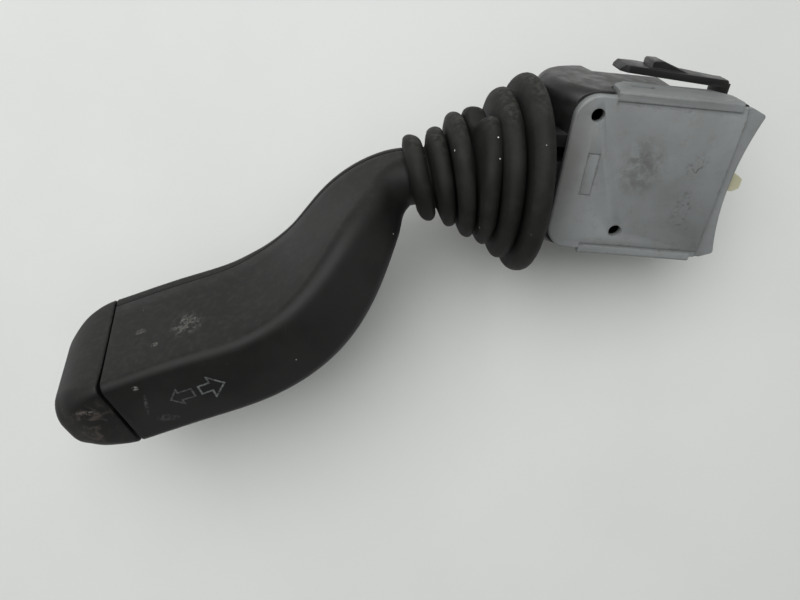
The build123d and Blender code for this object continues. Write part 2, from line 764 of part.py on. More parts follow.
# ---------------------------------------------------------------- cancel pawl
def make_cancel_pawl():
    hub = post(pawl_x, pawl_y, pawl_low_z - 0.6, pawl_boss_top_z, pawl_hub_r)
    hub += post(pawl_x, pawl_y, pawl_hub_low_z, pawl_low_z, pawl_neck_r)
    half = pawl_head_w / 2
    head = block(pawl_x, pawl_tip_x, pawl_y - half, pawl_y + half, pawl_low_z, pawl_top_z)
    nose_edges = head.edges().filter_by(Axis.Z).group_by(Axis.X)[-1]
    head = chamfer(nose_edges, 0.9, 1.5)
    half = pawl_tail_w / 2
    tail = block(pawl_tail_x, pawl_x, pawl_y - half, pawl_y + half, pawl_low_z, pawl_top_z)
    peg = block(pawl_tail_x, pawl_tail_x + 1.0, pawl_y - half, pawl_y + half,
                hair_z - hair_wire, pawl_low_z)
    bore = post(pawl_x, pawl_y, pawl_hub_low_z, pawl_boss_top_z, pawl_pin_r + run_gap)
    return hub + head + tail + peg - bore


def make_pawl_pin():
    pin = post(pawl_x, pawl_y, neck_floor_z + wall - 0.6, deck_z + 0.9, pawl_pin_r)
    return chamfer(pin.edges(), 0.3)


def make_pawl_spring():
    """Hairpin wire that grips the pawl's peg and the housing's post."""
    grip = pawl_tail_w / 2 + hair_wire + 0.02
    bow = pawl_neck_r + hair_wire + 0.12
    start_x = pawl_tail_x - 0.4
    knee_x = hair_post_x + 1.1
    arm = Line((start_x, grip), (knee_x, grip)) + Line((knee_x, grip), (pawl_x, bow))
    legs = Part()
    for side in (-1, 1):
        for edge in arm.edges():
            a = edge @ 0
            b = edge @ 1
            leg = Solid.make_cylinder(hair_wire, edge.length,
                                      Plane(origin=(a.X, side * a.Y, 0),
                                            z_dir=(b.X - a.X, side * (b.Y - a.Y), 0)))
            legs += leg
        legs += Pos(knee_x, side * grip, 0) * Sphere(hair_wire)
    half_turn = Torus(bow, hair_wire) & block(0, 2 * bow, -2 * bow, 2 * bow, -1, 1)
    return Pos(0, pawl_y, hair_z) * (legs + Pos(pawl_x, 0, 0) * half_turn)


# ---------------------------------------------------------------- boot
def bellows(profile, near):
    """Revolved skin from (distance, radius) points, about -X, with its near end square."""
    outer = [(-at, radius) for at, radius in profile]
    inner = [(-at, radius - boot_wall) for at, radius in profile]
    skin = make_face(Polyline(*outer, *reversed(inner), close=True))
    return revolve(skin, Axis.X) if near else Rot(0, 0, bend_angle) * revolve(skin, Axis.X)


def roll(at, radius):
    return Pos(-at, 0, 0) * Rot(0, 90, 0) * Torus(radius - roll_tube, roll_tube)


def make_boot():
    """Rubber bellows with rolled edges, a flange and a mouth for the neck."""
    at, radius = roll_near
    bend = -bend_at[0]
    root_r = flange_r - flange_bead
    near = bellows(((0, root_r), (at / 2, radius - 0.6), (at, radius - roll_tube),
                    (bend + 0.3, rolls_far[0][1] - roll_valley + 2.6)), True)
    near += roll(at, radius)
    near += roll(0, flange_r - flange_bead + roll_tube)
    bead = Rot(0, 90, 0) * Torus(root_r, flange_bead)
    web = rod(-flange_web, flange_web, root_r) - rod(-flange_web, flange_web, collar_r + run_gap)
    near = Pos(0, flange_y, flange_z) * (near + bead + web)
    points = [(-0.3, rolls_far[0][1] - roll_valley + 2.6)]
    for i, (at, radius) in enumerate(rolls_far):
        points.append((at, radius - roll_tube))
        if i + 1 < len(rolls_far):
            ahead, small = rolls_far[i + 1]
            points.append(((at + ahead) / 2, small - roll_valley + 0.6))
    points.append((boot_mouth, neck_r + run_gap + boot_wall))
    far = bellows(points, False)
    for at, radius in rolls_far:
        far += Rot(0, 0, bend_angle) * roll(at, radius)
    boot = near + Pos(*bend_at) * far
    return boot - on_lever(rod(-stem_reach - boot_wall * 8, -stem_reach + 12, neck_r + run_gap))


# ---------------------------------------------------------------- handle
def spine():
    """Centre line of the handle through its stations."""
    points = [Vector(-s[0], -s[1], s[2]) for s in stations]
    start = Vector(-1, 0, 0).rotate(Axis.Z, lever_droop)
    finish = (points[-1] - points[-2]).normalized()
    return Spline(*points, tangents=[start, finish])


def section_plane(path, t):
    """Plane across the spine: its X is the section's height, its Y the depth."""
    forward = path % t
    lean = Vector(*depth_lean)
    depth = lean - forward * forward.dot(lean)
    height = depth.cross(forward)
    return Plane(origin=path @ t, x_dir=height, z_dir=forward)


def sections():
    """Planes across the spine with the sizes of the section on each of them."""
    path = spine()
    at = [path.param_at_point(Vector(-s[0], -s[1], s[2])) for s in stations]
    found = []
    for i in range(len(stations) - 1):
        for k in range(station_splits):
            share = k / station_splits
            t = at[i] + (at[i + 1] - at[i]) * share
            sizes = [a + (b - a) * share for a, b in zip(stations[i][3:], stations[i + 1][3:])]
            found.append((section_plane(path, t), *sizes))
    found.append((section_plane(path, at[-1]), *stations[-1][3:]))
    return found


def wall_face(height, depth, radius, low):
    """U-shaped wall section, open towards -Y at the level low."""
    h = height / 2
    d = depth / 2
    w = handle_wall
    k = (radius - w) * (1 - math.sqrt(0.5)) + w
    m = radius * (1 - math.sqrt(0.5))
    outer_left = ThreePointArc((-h, d - radius), (-h + m, d - m), (-h + radius, d))
    outer_right = ThreePointArc((h - radius, d), (h - m, d - m), (h, d - radius))
    inner_right = ThreePointArc((h - w, d - radius), (h - k, d - k), (h - radius, d - w))
    inner_left = ThreePointArc((-h + radius, d - w), (-h + k, d - k), (-h + w, d - radius))
    return make_face([
        Line((-h, low), (-h, d - radius)), outer_left,
        Line((-h + radius, d), (h - radius, d)), outer_right,
        Line((h, d - radius), (h, low)), Line((h, low), (h - w, low)),
        Line((h - w, low), (h - w, d - radius)), inner_right,
        Line((h - radius, d - w), (-h + radius, d - w)), inner_left,
        Line((-h + w, d - radius), (-h + w, low)), Line((-h + w, low), (-h, low)),
    ])


def make_front_shell():
    """Front half of the handle, with the round neck and the upper part of the clamp."""
    sketches = []
    for plane, height, depth, radius, rear in sections():
        sketches.append(plane * wall_face(height, depth, radius, rear - depth / 2))
    shell = loft(sketches, ruled=True)
    start = -stem_reach + spigot_len - 2.5
    split = -stations[0][4] / 2 + stations[0][6]
    neck = rod(-stem_split(), start, neck_r) + rod(-stem_split() - clamp_len, -stem_split(), clamp_r)
    neck -= block(-stem_split() - clamp_len, -stem_split(), -neck_r, neck_r, -neck_r, split)
    neck -= rod(-stem_split() - clamp_len, start, spigot_r + seat_gap)
    return shell + on_lever(neck)


def make_rear_shell():
    """Shallow back half of the handle, with the lower part of the clamp."""
    sketches = []
    for plane, height, full, radius, rear in sections():
        depth = rear - seam_gap
        turned = Plane(origin=plane.origin, x_dir=-plane.x_dir, z_dir=plane.z_dir)
        sketches.append(turned * wall_face(height, full, min(radius, depth - 0.3), full / 2 - depth))
    shell = loft(sketches, ruled=True)
    split = -stations[0][4] / 2 + stations[0][6] - seam_gap
    neck = rod(-stem_split() - clamp_len, -stem_split() - seam_gap, clamp_r)
    neck &= block(-stem_split() - clamp_len, -stem_split(), -neck_r, neck_r, -neck_r, split)
    neck -= rod(-stem_split() - clamp_len, -stem_split(), spigot_r + seat_gap)
    return shell + on_lever(neck)


def stem_split():
    """Distance from the turn axis to the start of the split handle."""
    first = stations[0]
    return math.hypot(first[0] + turn_x, first[1])


def rounded(height, depth, radius):
    return RectangleRounded(height, depth, radius)


def make_end_cap():
    """Cap with a plug that clips into the open end of the shells."""
    plane, height, depth, radius, _ = sections()[-1]
    sketches = [plane.offset(cap_gap) * rounded(height, depth, radius)]
    room = handle_wall + 0.55
    plug_h = height - 2 * room
    plug_d = depth - 2 * room
    for at, height, depth, radius, across, shift in cap_sections:
        sketches.append(plane.offset(at) * Pos(across, shift) * rounded(height, depth, radius))
    cap = loft(sketches, ruled=True)
    plug = RectangleRounded(plug_h, plug_d, 2.0) - RectangleRounded(plug_h - 3, plug_d - 3, 0.8)
    return cap + extrude(plane.offset(-cap_plug) * plug, cap_plug + cap_gap + 1.5)


# ---------------------------------------------------------------- build
def main():
    os.makedirs("parts", exist_ok=True)
    save(make_housing(), "housing")
    save(make_cover(), "cover")
    save(make_bearing_plate(), "bearing_plate")
    save(make_terminal_base(), "terminal_base")
    save(blades(), "blade_terminals")
    save(contact_strips(0), "fixed_contacts")
    save(make_detent_track(), "detent_track")
    save(make_pawl_pin(), "pawl_pin")
    save(make_pawl_spring(), "pawl_spring")
    save(make_cancel_pawl(), "cancel_pawl")
    save(make_swivel_carrier(), "swivel_carrier")
    save(make_beam_pin(), "beam_pin")
    save(make_beam_return_spring(), "beam_return_spring")
    save(make_lever_stem(), "lever_stem")
    save(make_detent_plunger(), "detent_plunger")
    save(make_detent_spring(), "detent_spring")
    save(make_turn_slider(), "turn_slider")
    save(make_turn_brushes(), "turn_brushes")
    save(make_brush_springs(peg_x, 4.6), "turn_brush_springs")
    save(make_beam_slider(), "beam_slider")
    save(make_beam_brushes(), "beam_brushes")
    save(make_brush_springs(turn_x, 3.0), "beam_brush_springs")
    save(make_boot(), "boot")
    save(make_front_shell(), "front_shell")
    save(make_rear_shell(), "rear_shell")
    save(make_end_cap(), "end_cap")


main()
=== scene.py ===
# %% [markdown]
# # A column stalk switch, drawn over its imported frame
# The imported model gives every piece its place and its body. This notebook hides the plain
# outer shells, draws them again with smooth skins, and gives every other piece a better
# material. Sizes are in millimetres in the tables and in metres in the meshes, because the
# frame is in metres: `mm()` and `MM` turn one into the other.

# %% Load the frame
import bpy
import bmesh
import json
import math
import numpy as np
from mathutils import Matrix, Vector

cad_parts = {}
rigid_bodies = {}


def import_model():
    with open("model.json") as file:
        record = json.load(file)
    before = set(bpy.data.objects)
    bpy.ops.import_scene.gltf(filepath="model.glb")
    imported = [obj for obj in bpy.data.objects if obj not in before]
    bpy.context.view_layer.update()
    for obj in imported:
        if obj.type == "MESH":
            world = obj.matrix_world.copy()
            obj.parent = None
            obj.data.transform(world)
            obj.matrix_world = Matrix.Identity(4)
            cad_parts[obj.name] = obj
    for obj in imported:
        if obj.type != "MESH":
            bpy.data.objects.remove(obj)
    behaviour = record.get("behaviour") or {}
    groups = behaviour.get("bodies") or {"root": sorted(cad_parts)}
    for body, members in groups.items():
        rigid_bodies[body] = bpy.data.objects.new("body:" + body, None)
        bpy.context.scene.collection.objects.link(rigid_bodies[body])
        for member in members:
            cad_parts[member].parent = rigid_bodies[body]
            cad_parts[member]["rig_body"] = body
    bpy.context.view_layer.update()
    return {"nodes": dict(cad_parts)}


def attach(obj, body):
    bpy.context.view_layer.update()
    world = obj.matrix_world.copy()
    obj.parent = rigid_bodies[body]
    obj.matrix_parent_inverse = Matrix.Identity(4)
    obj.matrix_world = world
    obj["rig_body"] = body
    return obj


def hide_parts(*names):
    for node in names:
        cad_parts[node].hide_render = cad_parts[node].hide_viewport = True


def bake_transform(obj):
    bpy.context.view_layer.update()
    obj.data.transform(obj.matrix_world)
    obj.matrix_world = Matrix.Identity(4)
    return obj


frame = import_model()
nodes = frame["nodes"]

# %% Small helpers
MM = 0.001
WELD = 2e-6             # points closer than this, in metres, are one point


def mm(points):
    """Millimetres to metres."""
    return np.asarray(points, float) * MM


def unit(v):
    """The same direction with length 1."""
    v = np.asarray(v, float)
    return v / np.linalg.norm(v)


def add_object(name, data):
    """A new object with that mesh, lamp or camera, linked to the scene."""
    obj = bpy.data.objects.new(name, data)
    bpy.context.scene.collection.objects.link(obj)
    return obj


def edit_mesh(obj, change, *given):
    """Opens the object's mesh, lets a function change it, and writes it back."""
    bm = bmesh.new()
    bm.from_mesh(obj.data)
    change(bm, *given)
    bm.to_mesh(obj.data)
    bm.free()


def weld(bm):
    """Merges doubled points and turns the faces outwards."""
    bmesh.ops.remove_doubles(bm, verts=bm.verts, dist=WELD)
    bmesh.ops.recalc_face_normals(bm, faces=bm.faces)


def mesh_object(name, points, faces, smooth=True):
    """A new closed mesh from points in millimetres, with its faces turned outwards."""
    mesh = bpy.data.meshes.new(name)
    mesh.from_pydata(mm(points).tolist(), [], faces)
    obj = add_object(name, mesh)
    edit_mesh(obj, weld)
    if smooth:
        mesh.shade_smooth()
        mesh.set_sharp_from_angle(angle=math.radians(50))
    return obj


def loop_faces(rows, count, closed_rows=False):
    """Quads between rows of points; every row is a closed ring of count points."""
    return [(i * count + k, i * count + (k + 1) % count,
             (i + 1) % rows * count + (k + 1) % count, (i + 1) % rows * count + k)
            for i in range(rows if closed_rows else rows - 1) for k in range(count)]


def apply_modifiers(obj):
    """Turns the object's modifiers into plain mesh, and removes them."""
    bpy.context.view_layer.update()
    graph = bpy.context.evaluated_depsgraph_get()
    mesh = bpy.data.meshes.new_from_object(obj.evaluated_get(graph))
    obj.modifiers.clear()
    old, obj.data = obj.data, mesh
    bpy.data.meshes.remove(old)


print("one millimetre is", MM, "m here")

# %% [markdown]
# ## Materials
# Each material is a small network of noises in the object's own coordinates, so its grain has
# a real size and moves with its piece. A small class builds them all: a base colour that
# drifts, fine grain as bump, dust with a painted highlight on faces turned towards the light,
# and paler worn edges found by comparing the rounded normal of a Bevel node with the true one.
# An image texture would need unwrapping, and its grain would stretch on the curved skins.

# %% Node builder
class Nodes:
    """Adds nodes to a tree, and links or sets their inputs in the same call."""

    def __init__(self, tree):
        self.tree = tree

    def put(self, socket, value):
        """Links a socket, or sets a plain number, colour or vector on it."""
        if hasattr(value, "is_linked"):
            self.tree.links.new(value, socket)
        else:
            socket.default_value = (*value, 1) if socket.type == "RGBA" else value

    def node(self, kind, inputs=(), **settings):
        """A new node with its settings, and its inputs by name or number."""
        made = self.tree.nodes.new(kind)
        for key, value in settings.items():
            setattr(made, key, value)
        for key, value in dict(inputs).items():
            self.put(made.inputs[key], value)
        return made

    def dot(self, a, b):
        return self.node("ShaderNodeVectorMath", {0: a, 1: b},
                         operation="DOT_PRODUCT").outputs["Value"]

    def step(self, value, low, high, bottom=0.0, top=1.0):
        """Rises softly from bottom at low to top at high."""
        inputs = {"Value": value, "From Min": low, "From Max": high, "To Min": bottom,
                  "To Max": top}
        return self.node("ShaderNodeMapRange", inputs,
                         interpolation_type="SMOOTHSTEP").outputs["Result"]


print("node builder ready")

# %% Material builder
UP = (-0.0704, 0.8469, -0.5271)      # the side that faces the light in the rest position


class Look(Nodes):
    """Builds one procedural material step by step."""

    def __init__(self, name, color, rough, round_edges=0.0, shine=0.5, metal=0.0):
        self.mat = bpy.data.materials.new(name)
        self.mat.use_nodes = True
        self.mat.diffuse_color = (*color, 1)
        super().__init__(self.mat.node_tree)
        self.bsdf = self.tree.nodes["Principled BSDF"]
        for socket, value in (("Base Color", color), ("Roughness", rough),
                              ("Metallic", metal), ("Specular IOR Level", shine)):
            self.put(self.bsdf.inputs[socket], value)
        self.coords = self.node("ShaderNodeTexCoord").outputs["Object"]
        # what the shader gets in the end: plain values until a node is put over them
        self.color, self.rough = color, rough
        self.normal = self.rounded(round_edges) if round_edges else None

    def math(self, operation, a, b=0.5, clamp=False):
        return self.node("ShaderNodeMath", {0: a, 1: b}, operation=operation,
                         use_clamp=clamp).outputs[0]

    def both(self, a, b):
        """1 where both masks are 1."""
        return self.math("MULTIPLY", a, b)

    def place(self, at, stretch):
        """The object's coordinates, moved to a point in millimetres and stretched."""
        inputs = {"Vector": self.coords, "Location": tuple(mm(at)), "Scale": tuple(stretch)}
        return self.node("ShaderNodeMapping", inputs, vector_type="TEXTURE").outputs["Vector"]

    def noise(self, size, detail=4.0, rough=0.55, distort=0.0, stretch=None):
        """Noise whose features are about size millimetres across."""
        inputs = {"Scale": 1.0 / (size * MM), "Detail": detail, "Roughness": rough,
                  "Distortion": distort,
                  "Vector": self.place((0, 0, 0), stretch) if stretch else self.coords}
        return self.node("ShaderNodeTexNoise", inputs).outputs["Fac"]

    def patches(self, low, high, *noise, **more):
        """Soft-edged patches: a noise cut between two of its levels."""
        return self.step(self.noise(*noise, **more), low, high)

    def specks(self, spacing, size, keep):
        """Small round dots, a share keep of the cells having one."""
        cells = self.node("ShaderNodeTexVoronoi",
                          {"Scale": 1.0 / (spacing * MM), "Vector": self.coords}, feature="F1")
        dot = self.step(cells.outputs["Distance"], size / spacing, size / spacing * 0.6)
        draw = self.node("ShaderNodeSeparateColor", {"Color": cells.outputs["Color"]})
        return self.both(dot, self.math("LESS_THAN", draw.outputs["Red"], keep))

    def spot(self, at, size, soft):
        """1 inside an ellipsoid about a point in millimetres, 0 outside it."""
        made = self.node("ShaderNodeVectorMath", {0: self.place(at, mm(size))},
                         operation="LENGTH")
        return self.step(made.outputs["Value"], 1.0, soft)

    def facing(self, direction, low, high):
        """1 where the surface is turned towards a direction of the frame."""
        normal = self.node("ShaderNodeTexCoord").outputs["Normal"]
        return self.step(self.dot(normal, direction), low, high)

    def rounded(self, radius):
        """The surface's normal with its edges rounded by radius millimetres."""
        return self.node("ShaderNodeBevel", {"Radius": radius * MM}, samples=6).outputs["Normal"]

    def edges(self, radius):
        """1 near edges: where a wide bevel changes the normal."""
        normal = self.node("ShaderNodeNewGeometry").outputs["Normal"]
        return self.step(self.dot(self.rounded(radius), normal), 0.995, 0.93)

    def tint(self, mask, color, amount):
        """Mixes a share of a colour over what is there, where the mask is."""
        inputs = {0: self.math("MULTIPLY", mask, amount, True), 6: self.color, 7: color}
        self.color = self.node("ShaderNodeMix", inputs, data_type="RGBA").outputs[2]

    def matte(self, mask, rough):
        """Mixes another roughness over what is there, where the mask is."""
        inputs = {0: mask, 2: self.rough, 3: rough}
        self.rough = self.node("ShaderNodeMix", inputs, data_type="FLOAT").outputs[0]

    def mark(self, at, size, soft, patches, color, amount):
        """A ragged mark: an ellipsoid about a point, broken up by a noise."""
        mask = self.both(self.spot(at, size, soft), self.patches(*patches))
        self.tint(mask, color, amount)
        return mask

    def bump(self, height, depth):
        """Raises the surface by up to depth millimetres where height is 1."""
        inputs = {"Height": height, "Distance": depth * MM}
        if self.normal:
            inputs["Normal"] = self.normal
        self.normal = self.node("ShaderNodeBump", inputs).outputs["Normal"]

    def done(self):
        """Hands what was built to the shader."""
        for socket, value in (("Base Color", self.color), ("Roughness", self.rough),
                              ("Normal", self.normal)):
            if hasattr(value, "is_linked"):
                self.put(self.bsdf.inputs[socket], value)
        return self.mat


print("material builder ready")

# %% Plain moulded and metal surfaces
def plain(name, color, pale, rough, grain=0.25, depth=0.012, round_edges=0.15, metal=0.0):
    """A worn moulded or metal surface for a piece that is mostly hidden."""
    look = Look(name, color, rough, round_edges, metal=metal)
    look.tint(look.patches(0.35, 0.7, 9, 3), pale, 0.35)
    look.tint(look.edges(0.35), pale, 0.5)
    look.matte(look.noise(3.5, 5), min(rough + 0.2, 1.0))
    look.bump(look.noise(grain, 3), depth)
    return look.done()


print("plain() makes a worn look")

# %% [markdown]
# ### The handle's black
# The handle is black plastic with a fine spark-eroded grain. Hands leave smears on it, and dust
# with a painted highlight lies on the sides that face the light. Each of these is one noise, cut
# by a soft step and mixed over what is there. Painting them on an image would tie them to one
# unwrapping of the mesh.

# %% Handle plastic
PALM_SIDE = (0.19, -0.11, 0.97)      # the handle's broad side, towards the cover's side


def handle_look():
    look = Look("handle_black", (0.0088, 0.0086, 0.0085), 0.46, shine=0.24)
    drift = look.noise(16, 4, 0.6, 0.3)
    look.tint(look.step(drift, 0.35, 0.75), (0.0145, 0.0138, 0.0128), 0.7)
    look.matte(look.step(drift, 0.3, 0.7), 0.55)
    smear = look.patches(0.56, 0.74, 6, 5, 0.62, 0.6, stretch=(1.0, 0.35, 1.0))
    look.tint(smear, (0.018, 0.017, 0.0155), 0.3)
    palm = look.both(look.facing(PALM_SIDE, 0.55, 0.95), look.patches(0.40, 0.60, 24, 3, 0.5, 0.2))
    look.tint(palm, (0.0185, 0.0182, 0.0180), 0.75)
    # dust and painted highlight: paler patches on the faces turned to the light
    dust_and_highlight = look.both(look.facing(UP, 0.1, 0.9), look.patches(0.42, 0.7, 1.6, 6))
    look.tint(dust_and_highlight, (0.040, 0.038, 0.034), 0.30)
    look.tint(look.specks(6.5, 0.20, 0.7), (0.42, 0.40, 0.36), 0.8)
    scratch = look.both(look.patches(0.70, 0.76, 0.5, 2, 0.5, 0.0, stretch=(1.0, 14.0, 1.0)),
                        look.patches(0.5, 0.7, 8, 2))
    look.tint(scratch, (0.09, 0.086, 0.078), 0.35)
    look.bump(look.noise(0.22, 2, 0.5), 0.018)
    look.bump(look.noise(3.0, 3), 0.02)
    return look


print("handle plastic described")

# %% [markdown]
# ### The bellows' rubber
# Old rubber is dull, with pale specks of dirt. The crests that face the light get a grey of dust
# and painted highlight, and the valleys get painted shade. The crests could be found from the
# mesh's curvature, but only one render engine offers that. The bellows are swept from a table,
# so the table also stores a number per point, "fold", and the material reads it.

# %% Rubber
def rubber_look():
    look = Look("boot_rubber", (0.0092, 0.0092, 0.0080), 0.62, shine=0.24)
    # "fold" is 1 on a ring's crest and 0 at the bottom of a valley
    fold = look.node("ShaderNodeAttribute", attribute_name="fold").outputs["Fac"]
    open_air = look.step(fold, 0.15, 0.9)
    look.tint(look.patches(0.4, 0.75, 7, 5, 0.6, 0.4), (0.0205, 0.0205, 0.0178), 0.8)
    # dust and painted highlight: paler grey on the crests turned to the light
    dust_and_highlight = look.both(look.facing(UP, 0.15, 0.95), look.patches(0.40, 0.66, 1.3, 6, 0.65))
    look.tint(look.both(dust_and_highlight, open_air), (0.085, 0.083, 0.075), 0.55)
    # painted shade: darker down into the valleys, where fold falls towards 0
    look.tint(look.step(fold, 0.6, 0.05), (0.0046, 0.0046, 0.0042), 0.8)
    look.tint(look.both(look.specks(4.8, 0.30, 0.9), open_air), (0.75, 0.75, 0.70), 0.95)
    look.matte(look.noise(2.2, 5), 0.72)
    look.bump(look.noise(0.35, 4, 0.6), 0.03)
    look.bump(look.noise(2.4, 4), 0.05)
    return look


print("rubber described")

# %% [markdown]
# ### The body's black and the cover's grey
# The body is the same black as the handle with more sheen and paler edges. The cover is a matt
# grey that has been handled: a soft stain in its middle, two rubbed marks near the wing, and
# dark scuffs along its edges. Marks with a place of their own are ellipsoids about a point of
# the part, so they stay put when the mesh changes.

# %% Body plastic
def body_look():
    look = Look("body_black", (0.0115, 0.0115, 0.0110), 0.34, 0.22, shine=0.42)
    look.tint(look.patches(0.4, 0.75, 12, 4, 0.6, 0.3), (0.0155, 0.0152, 0.0142), 0.6)
    look.matte(look.patches(0.35, 0.7, 4, 5), 0.52)
    # dust and painted highlight: paler patches on the faces turned to the light
    dust_and_highlight = look.both(look.facing(UP, 0.2, 0.95), look.patches(0.44, 0.7, 1.8, 6))
    look.tint(dust_and_highlight, (0.060, 0.058, 0.053), 0.20)
    look.tint(look.edges(0.5), (0.045, 0.044, 0.041), 0.45)
    look.tint(look.specks(6, 0.18, 0.6), (0.4, 0.4, 0.37), 0.7)
    # darker over the arm than over the drum
    look.tint(look.spot((33, 23.5, -7), (19, 4.0, 8), 0.75), (0.0070, 0.0070, 0.0067), 0.6)
    # painted shade, with some grime, in the gap behind the boot's flange
    look.tint(look.spot((6.5, 2, 2), (6.5, 17, 9), 0.5), (0.0030, 0.0030, 0.0029), 0.85)
    look.bump(look.noise(0.25, 3), 0.015)
    return look


print("body plastic described")

# %% Cover plastic
def cover_look():
    look = Look("cover_grey", (0.205, 0.214, 0.217), 0.46, 0.22)
    look.tint(look.patches(0.35, 0.75, 14, 5, 0.6, 0.5), (0.252, 0.264, 0.269), 0.8)
    look.tint(look.patches(0.50, 0.72, 2.2, 6, 0.7), (0.168, 0.169, 0.162), 0.45)
    # darker towards the bellows and along the upper side
    look.tint(look.spot((8.5, 2, 7.6), (7.5, 24, 5), 0.3), (0.150, 0.148, 0.139), 0.6)
    look.tint(look.spot((32, 20.4, 5), (20, 2.4, 7), 0.6), (0.150, 0.155, 0.157), 0.6)
    # a stain in the middle and two rubbed marks near the wing
    look.mark((27.5, 3.5, 7.6), (7.5, 9.5, 4), 0.25, (0.36, 0.62, 2.6, 6, 0.7, 0.6),
              (0.066, 0.061, 0.056), 0.55)
    for at, size in (((40.5, 5.0, 7.6), (3.6, 4.0, 4)), ((40.8, -6.5, 7.6), (3.6, 7.5, 4))):
        look.mark(at, size, 0.2, (0.50, 0.62, 1.1, 5, 0.7, 0.8), (0.045, 0.045, 0.044), 0.6)
    rim = look.both(look.edges(0.8), look.patches(0.50, 0.62, 2.6, 5, 0.7))
    look.tint(rim, (0.060, 0.057, 0.053), 0.5)
    scratch = look.both(look.patches(0.69, 0.75, 0.42, 2, 0.5, 0.0, stretch=(12.0, 1.0, 1.0)),
                        look.patches(0.5, 0.7, 7, 2))
    look.tint(scratch, (0.30, 0.30, 0.29), 0.4)
    look.matte(look.patches(0.3, 0.7, 5, 5), 0.60)
    look.bump(look.noise(0.3, 4, 0.6), 0.02)
    return look


print("cover plastic described")

# %% Stock of materials
black_plastic = body_look().done()
cover_grey = cover_look().done()
rubber = rubber_look().done()
looks = {
    "grey": plain("inner_grey", (0.16, 0.16, 0.155), (0.26, 0.26, 0.25), 0.5),
    "black": plain("inner_black", (0.02, 0.02, 0.02), (0.07, 0.07, 0.065), 0.45),
    "natural": plain("natural_plastic", (0.50, 0.48, 0.33), (0.62, 0.60, 0.46), 0.42),
    "stem": plain("stem_plastic", (0.035, 0.035, 0.037), (0.09, 0.09, 0.09), 0.4),
    "brass": plain("brass", (0.66, 0.46, 0.19), (0.82, 0.68, 0.42), 0.30, 0.12, 0.006, 0.08, 1.0),
    "steel": plain("steel", (0.50, 0.50, 0.49), (0.72, 0.72, 0.70), 0.28, 0.12, 0.006, 0.05, 1.0),
}
print("materials:", len(bpy.data.materials))

# %% [markdown]
# ## The handle's skins
# The handle is a bent paddle: a rounded rectangle that grows and turns along a curved spine.
# The frame's shells are ruled between a few sections, so they show facets. Here the same
# stations go through a smooth cubic curve and are swept with many more sections. Sweeping by
# hand in mesh code keeps the wall, the seam and the rounded lips exact; a subdivision surface
# would pull the corners in and open the seam.

# %% Stations
LEVER_DROOP = math.radians(8.3)
DEPTH_LEAN = np.array(PALM_SIDE)
WALL = 1.9
SEAM_GAP = 0.3          # between the two shells
SEAM_LIP = 0.32         # rounding of their rims along it
END_LIP = 0.35          # rounding of their rims at the cap
CAP_GAP = 0.35          # between the shells and the cap
# outward, downward, towards the cover side, height, depth, corner radius, rear shell depth
STATIONS = np.array([
    (26.7, 7.3, 0.0, 13.0, 13.6, 6.45, 3.7),
    (32.3, 9.8, 0.7, 13.2, 17.6, 5.4, 3.8),
    (38.0, 15.1, 4.3, 14.2, 25.4, 4.6, 3.9),
    (43.8, 24.2, 10.6, 16.8, 31.4, 4.2, 4.0),
    (50.8, 33.1, 15.6, 19.2, 33.4, 3.4, 4.0),
    (62.3, 41.0, 19.8, 20.2, 33.3, 2.7, 4.0),
    (75.1, 45.8, 22.4, 20.6, 32.6, 2.3, 4.0),
    (91.4, 52.2, 24.8, 20.3, 32.6, 2.2, 4.0),
])
spine_points = STATIONS[:, :3] * (-1, -1, 1)
spine_at = np.r_[0, np.cumsum(np.linalg.norm(np.diff(spine_points, axis=0), axis=1))]
HANDLE_LENGTH = spine_at[-1]
print("spine of", round(HANDLE_LENGTH, 1), "mm through", len(STATIONS), "stations")


# %% Smooth curve through a table
class Cubic:
    """The smooth curve through points y at places x, with its end slopes given."""

    def __init__(self, x, y, first, last):
        self.x, self.y = x, y
        gap = np.diff(x)
        a = np.zeros((len(x), len(x)))
        b = np.zeros(y.shape)
        a[0, 0] = a[-1, -1] = 1
        b[0], b[-1] = first, last
        for i in range(1, len(x) - 1):
            a[i, i - 1:i + 2] = gap[i], 2 * (gap[i - 1] + gap[i]), gap[i - 1]
            b[i] = 3 * (gap[i] * (y[i] - y[i - 1]) / gap[i - 1]
                        + gap[i - 1] * (y[i + 1] - y[i]) / gap[i])
        self.slopes = np.linalg.solve(a, b)

    def at(self, t):
        """Value and slope at t."""
        k = int(np.clip(np.searchsorted(self.x, t) - 1, 0, len(self.x) - 2))
        h = self.x[k + 1] - self.x[k]
        a = (t - self.x[k]) / h
        (y0, y1), (m0, m1) = self.y[k:k + 2], self.slopes[k:k + 2]
        value = ((2 * a**3 - 3 * a**2 + 1) * y0 + (a**3 - 2 * a**2 + a) * h * m0
                 + (3 * a**2 - 2 * a**3) * y1 + (a**3 - a**2) * h * m1)
        slope = ((6 * a * a - 6 * a) * (y0 - y1) / h + (3 * a * a - 4 * a + 1) * m0
                 + (3 * a * a - 2 * a) * m1)
        return value, slope


print("curve builder ready")

# %% Spine
start_slope = np.array([-math.cos(LEVER_DROOP), -math.sin(LEVER_DROOP), 0])
spine = Cubic(spine_at, spine_points, start_slope, unit(spine_points[-1] - spine_points[-2]))
sizes = Cubic(spine_at, STATIONS[:, 3:], (0.0, 0.25, -0.1, 0.0), (0, 0, 0, 0))


def handle_frame(s):
    """Centre and axes (forward, height, depth) of the section s mm along the spine."""
    inside = min(max(s, 0.0), HANDLE_LENGTH)
    centre, forward = spine.at(inside)
    forward = unit(forward)
    centre = centre + forward * (s - inside)
    depth = unit(DEPTH_LEAN - forward * np.dot(DEPTH_LEAN, forward))
    return centre, forward, np.cross(depth, forward), depth


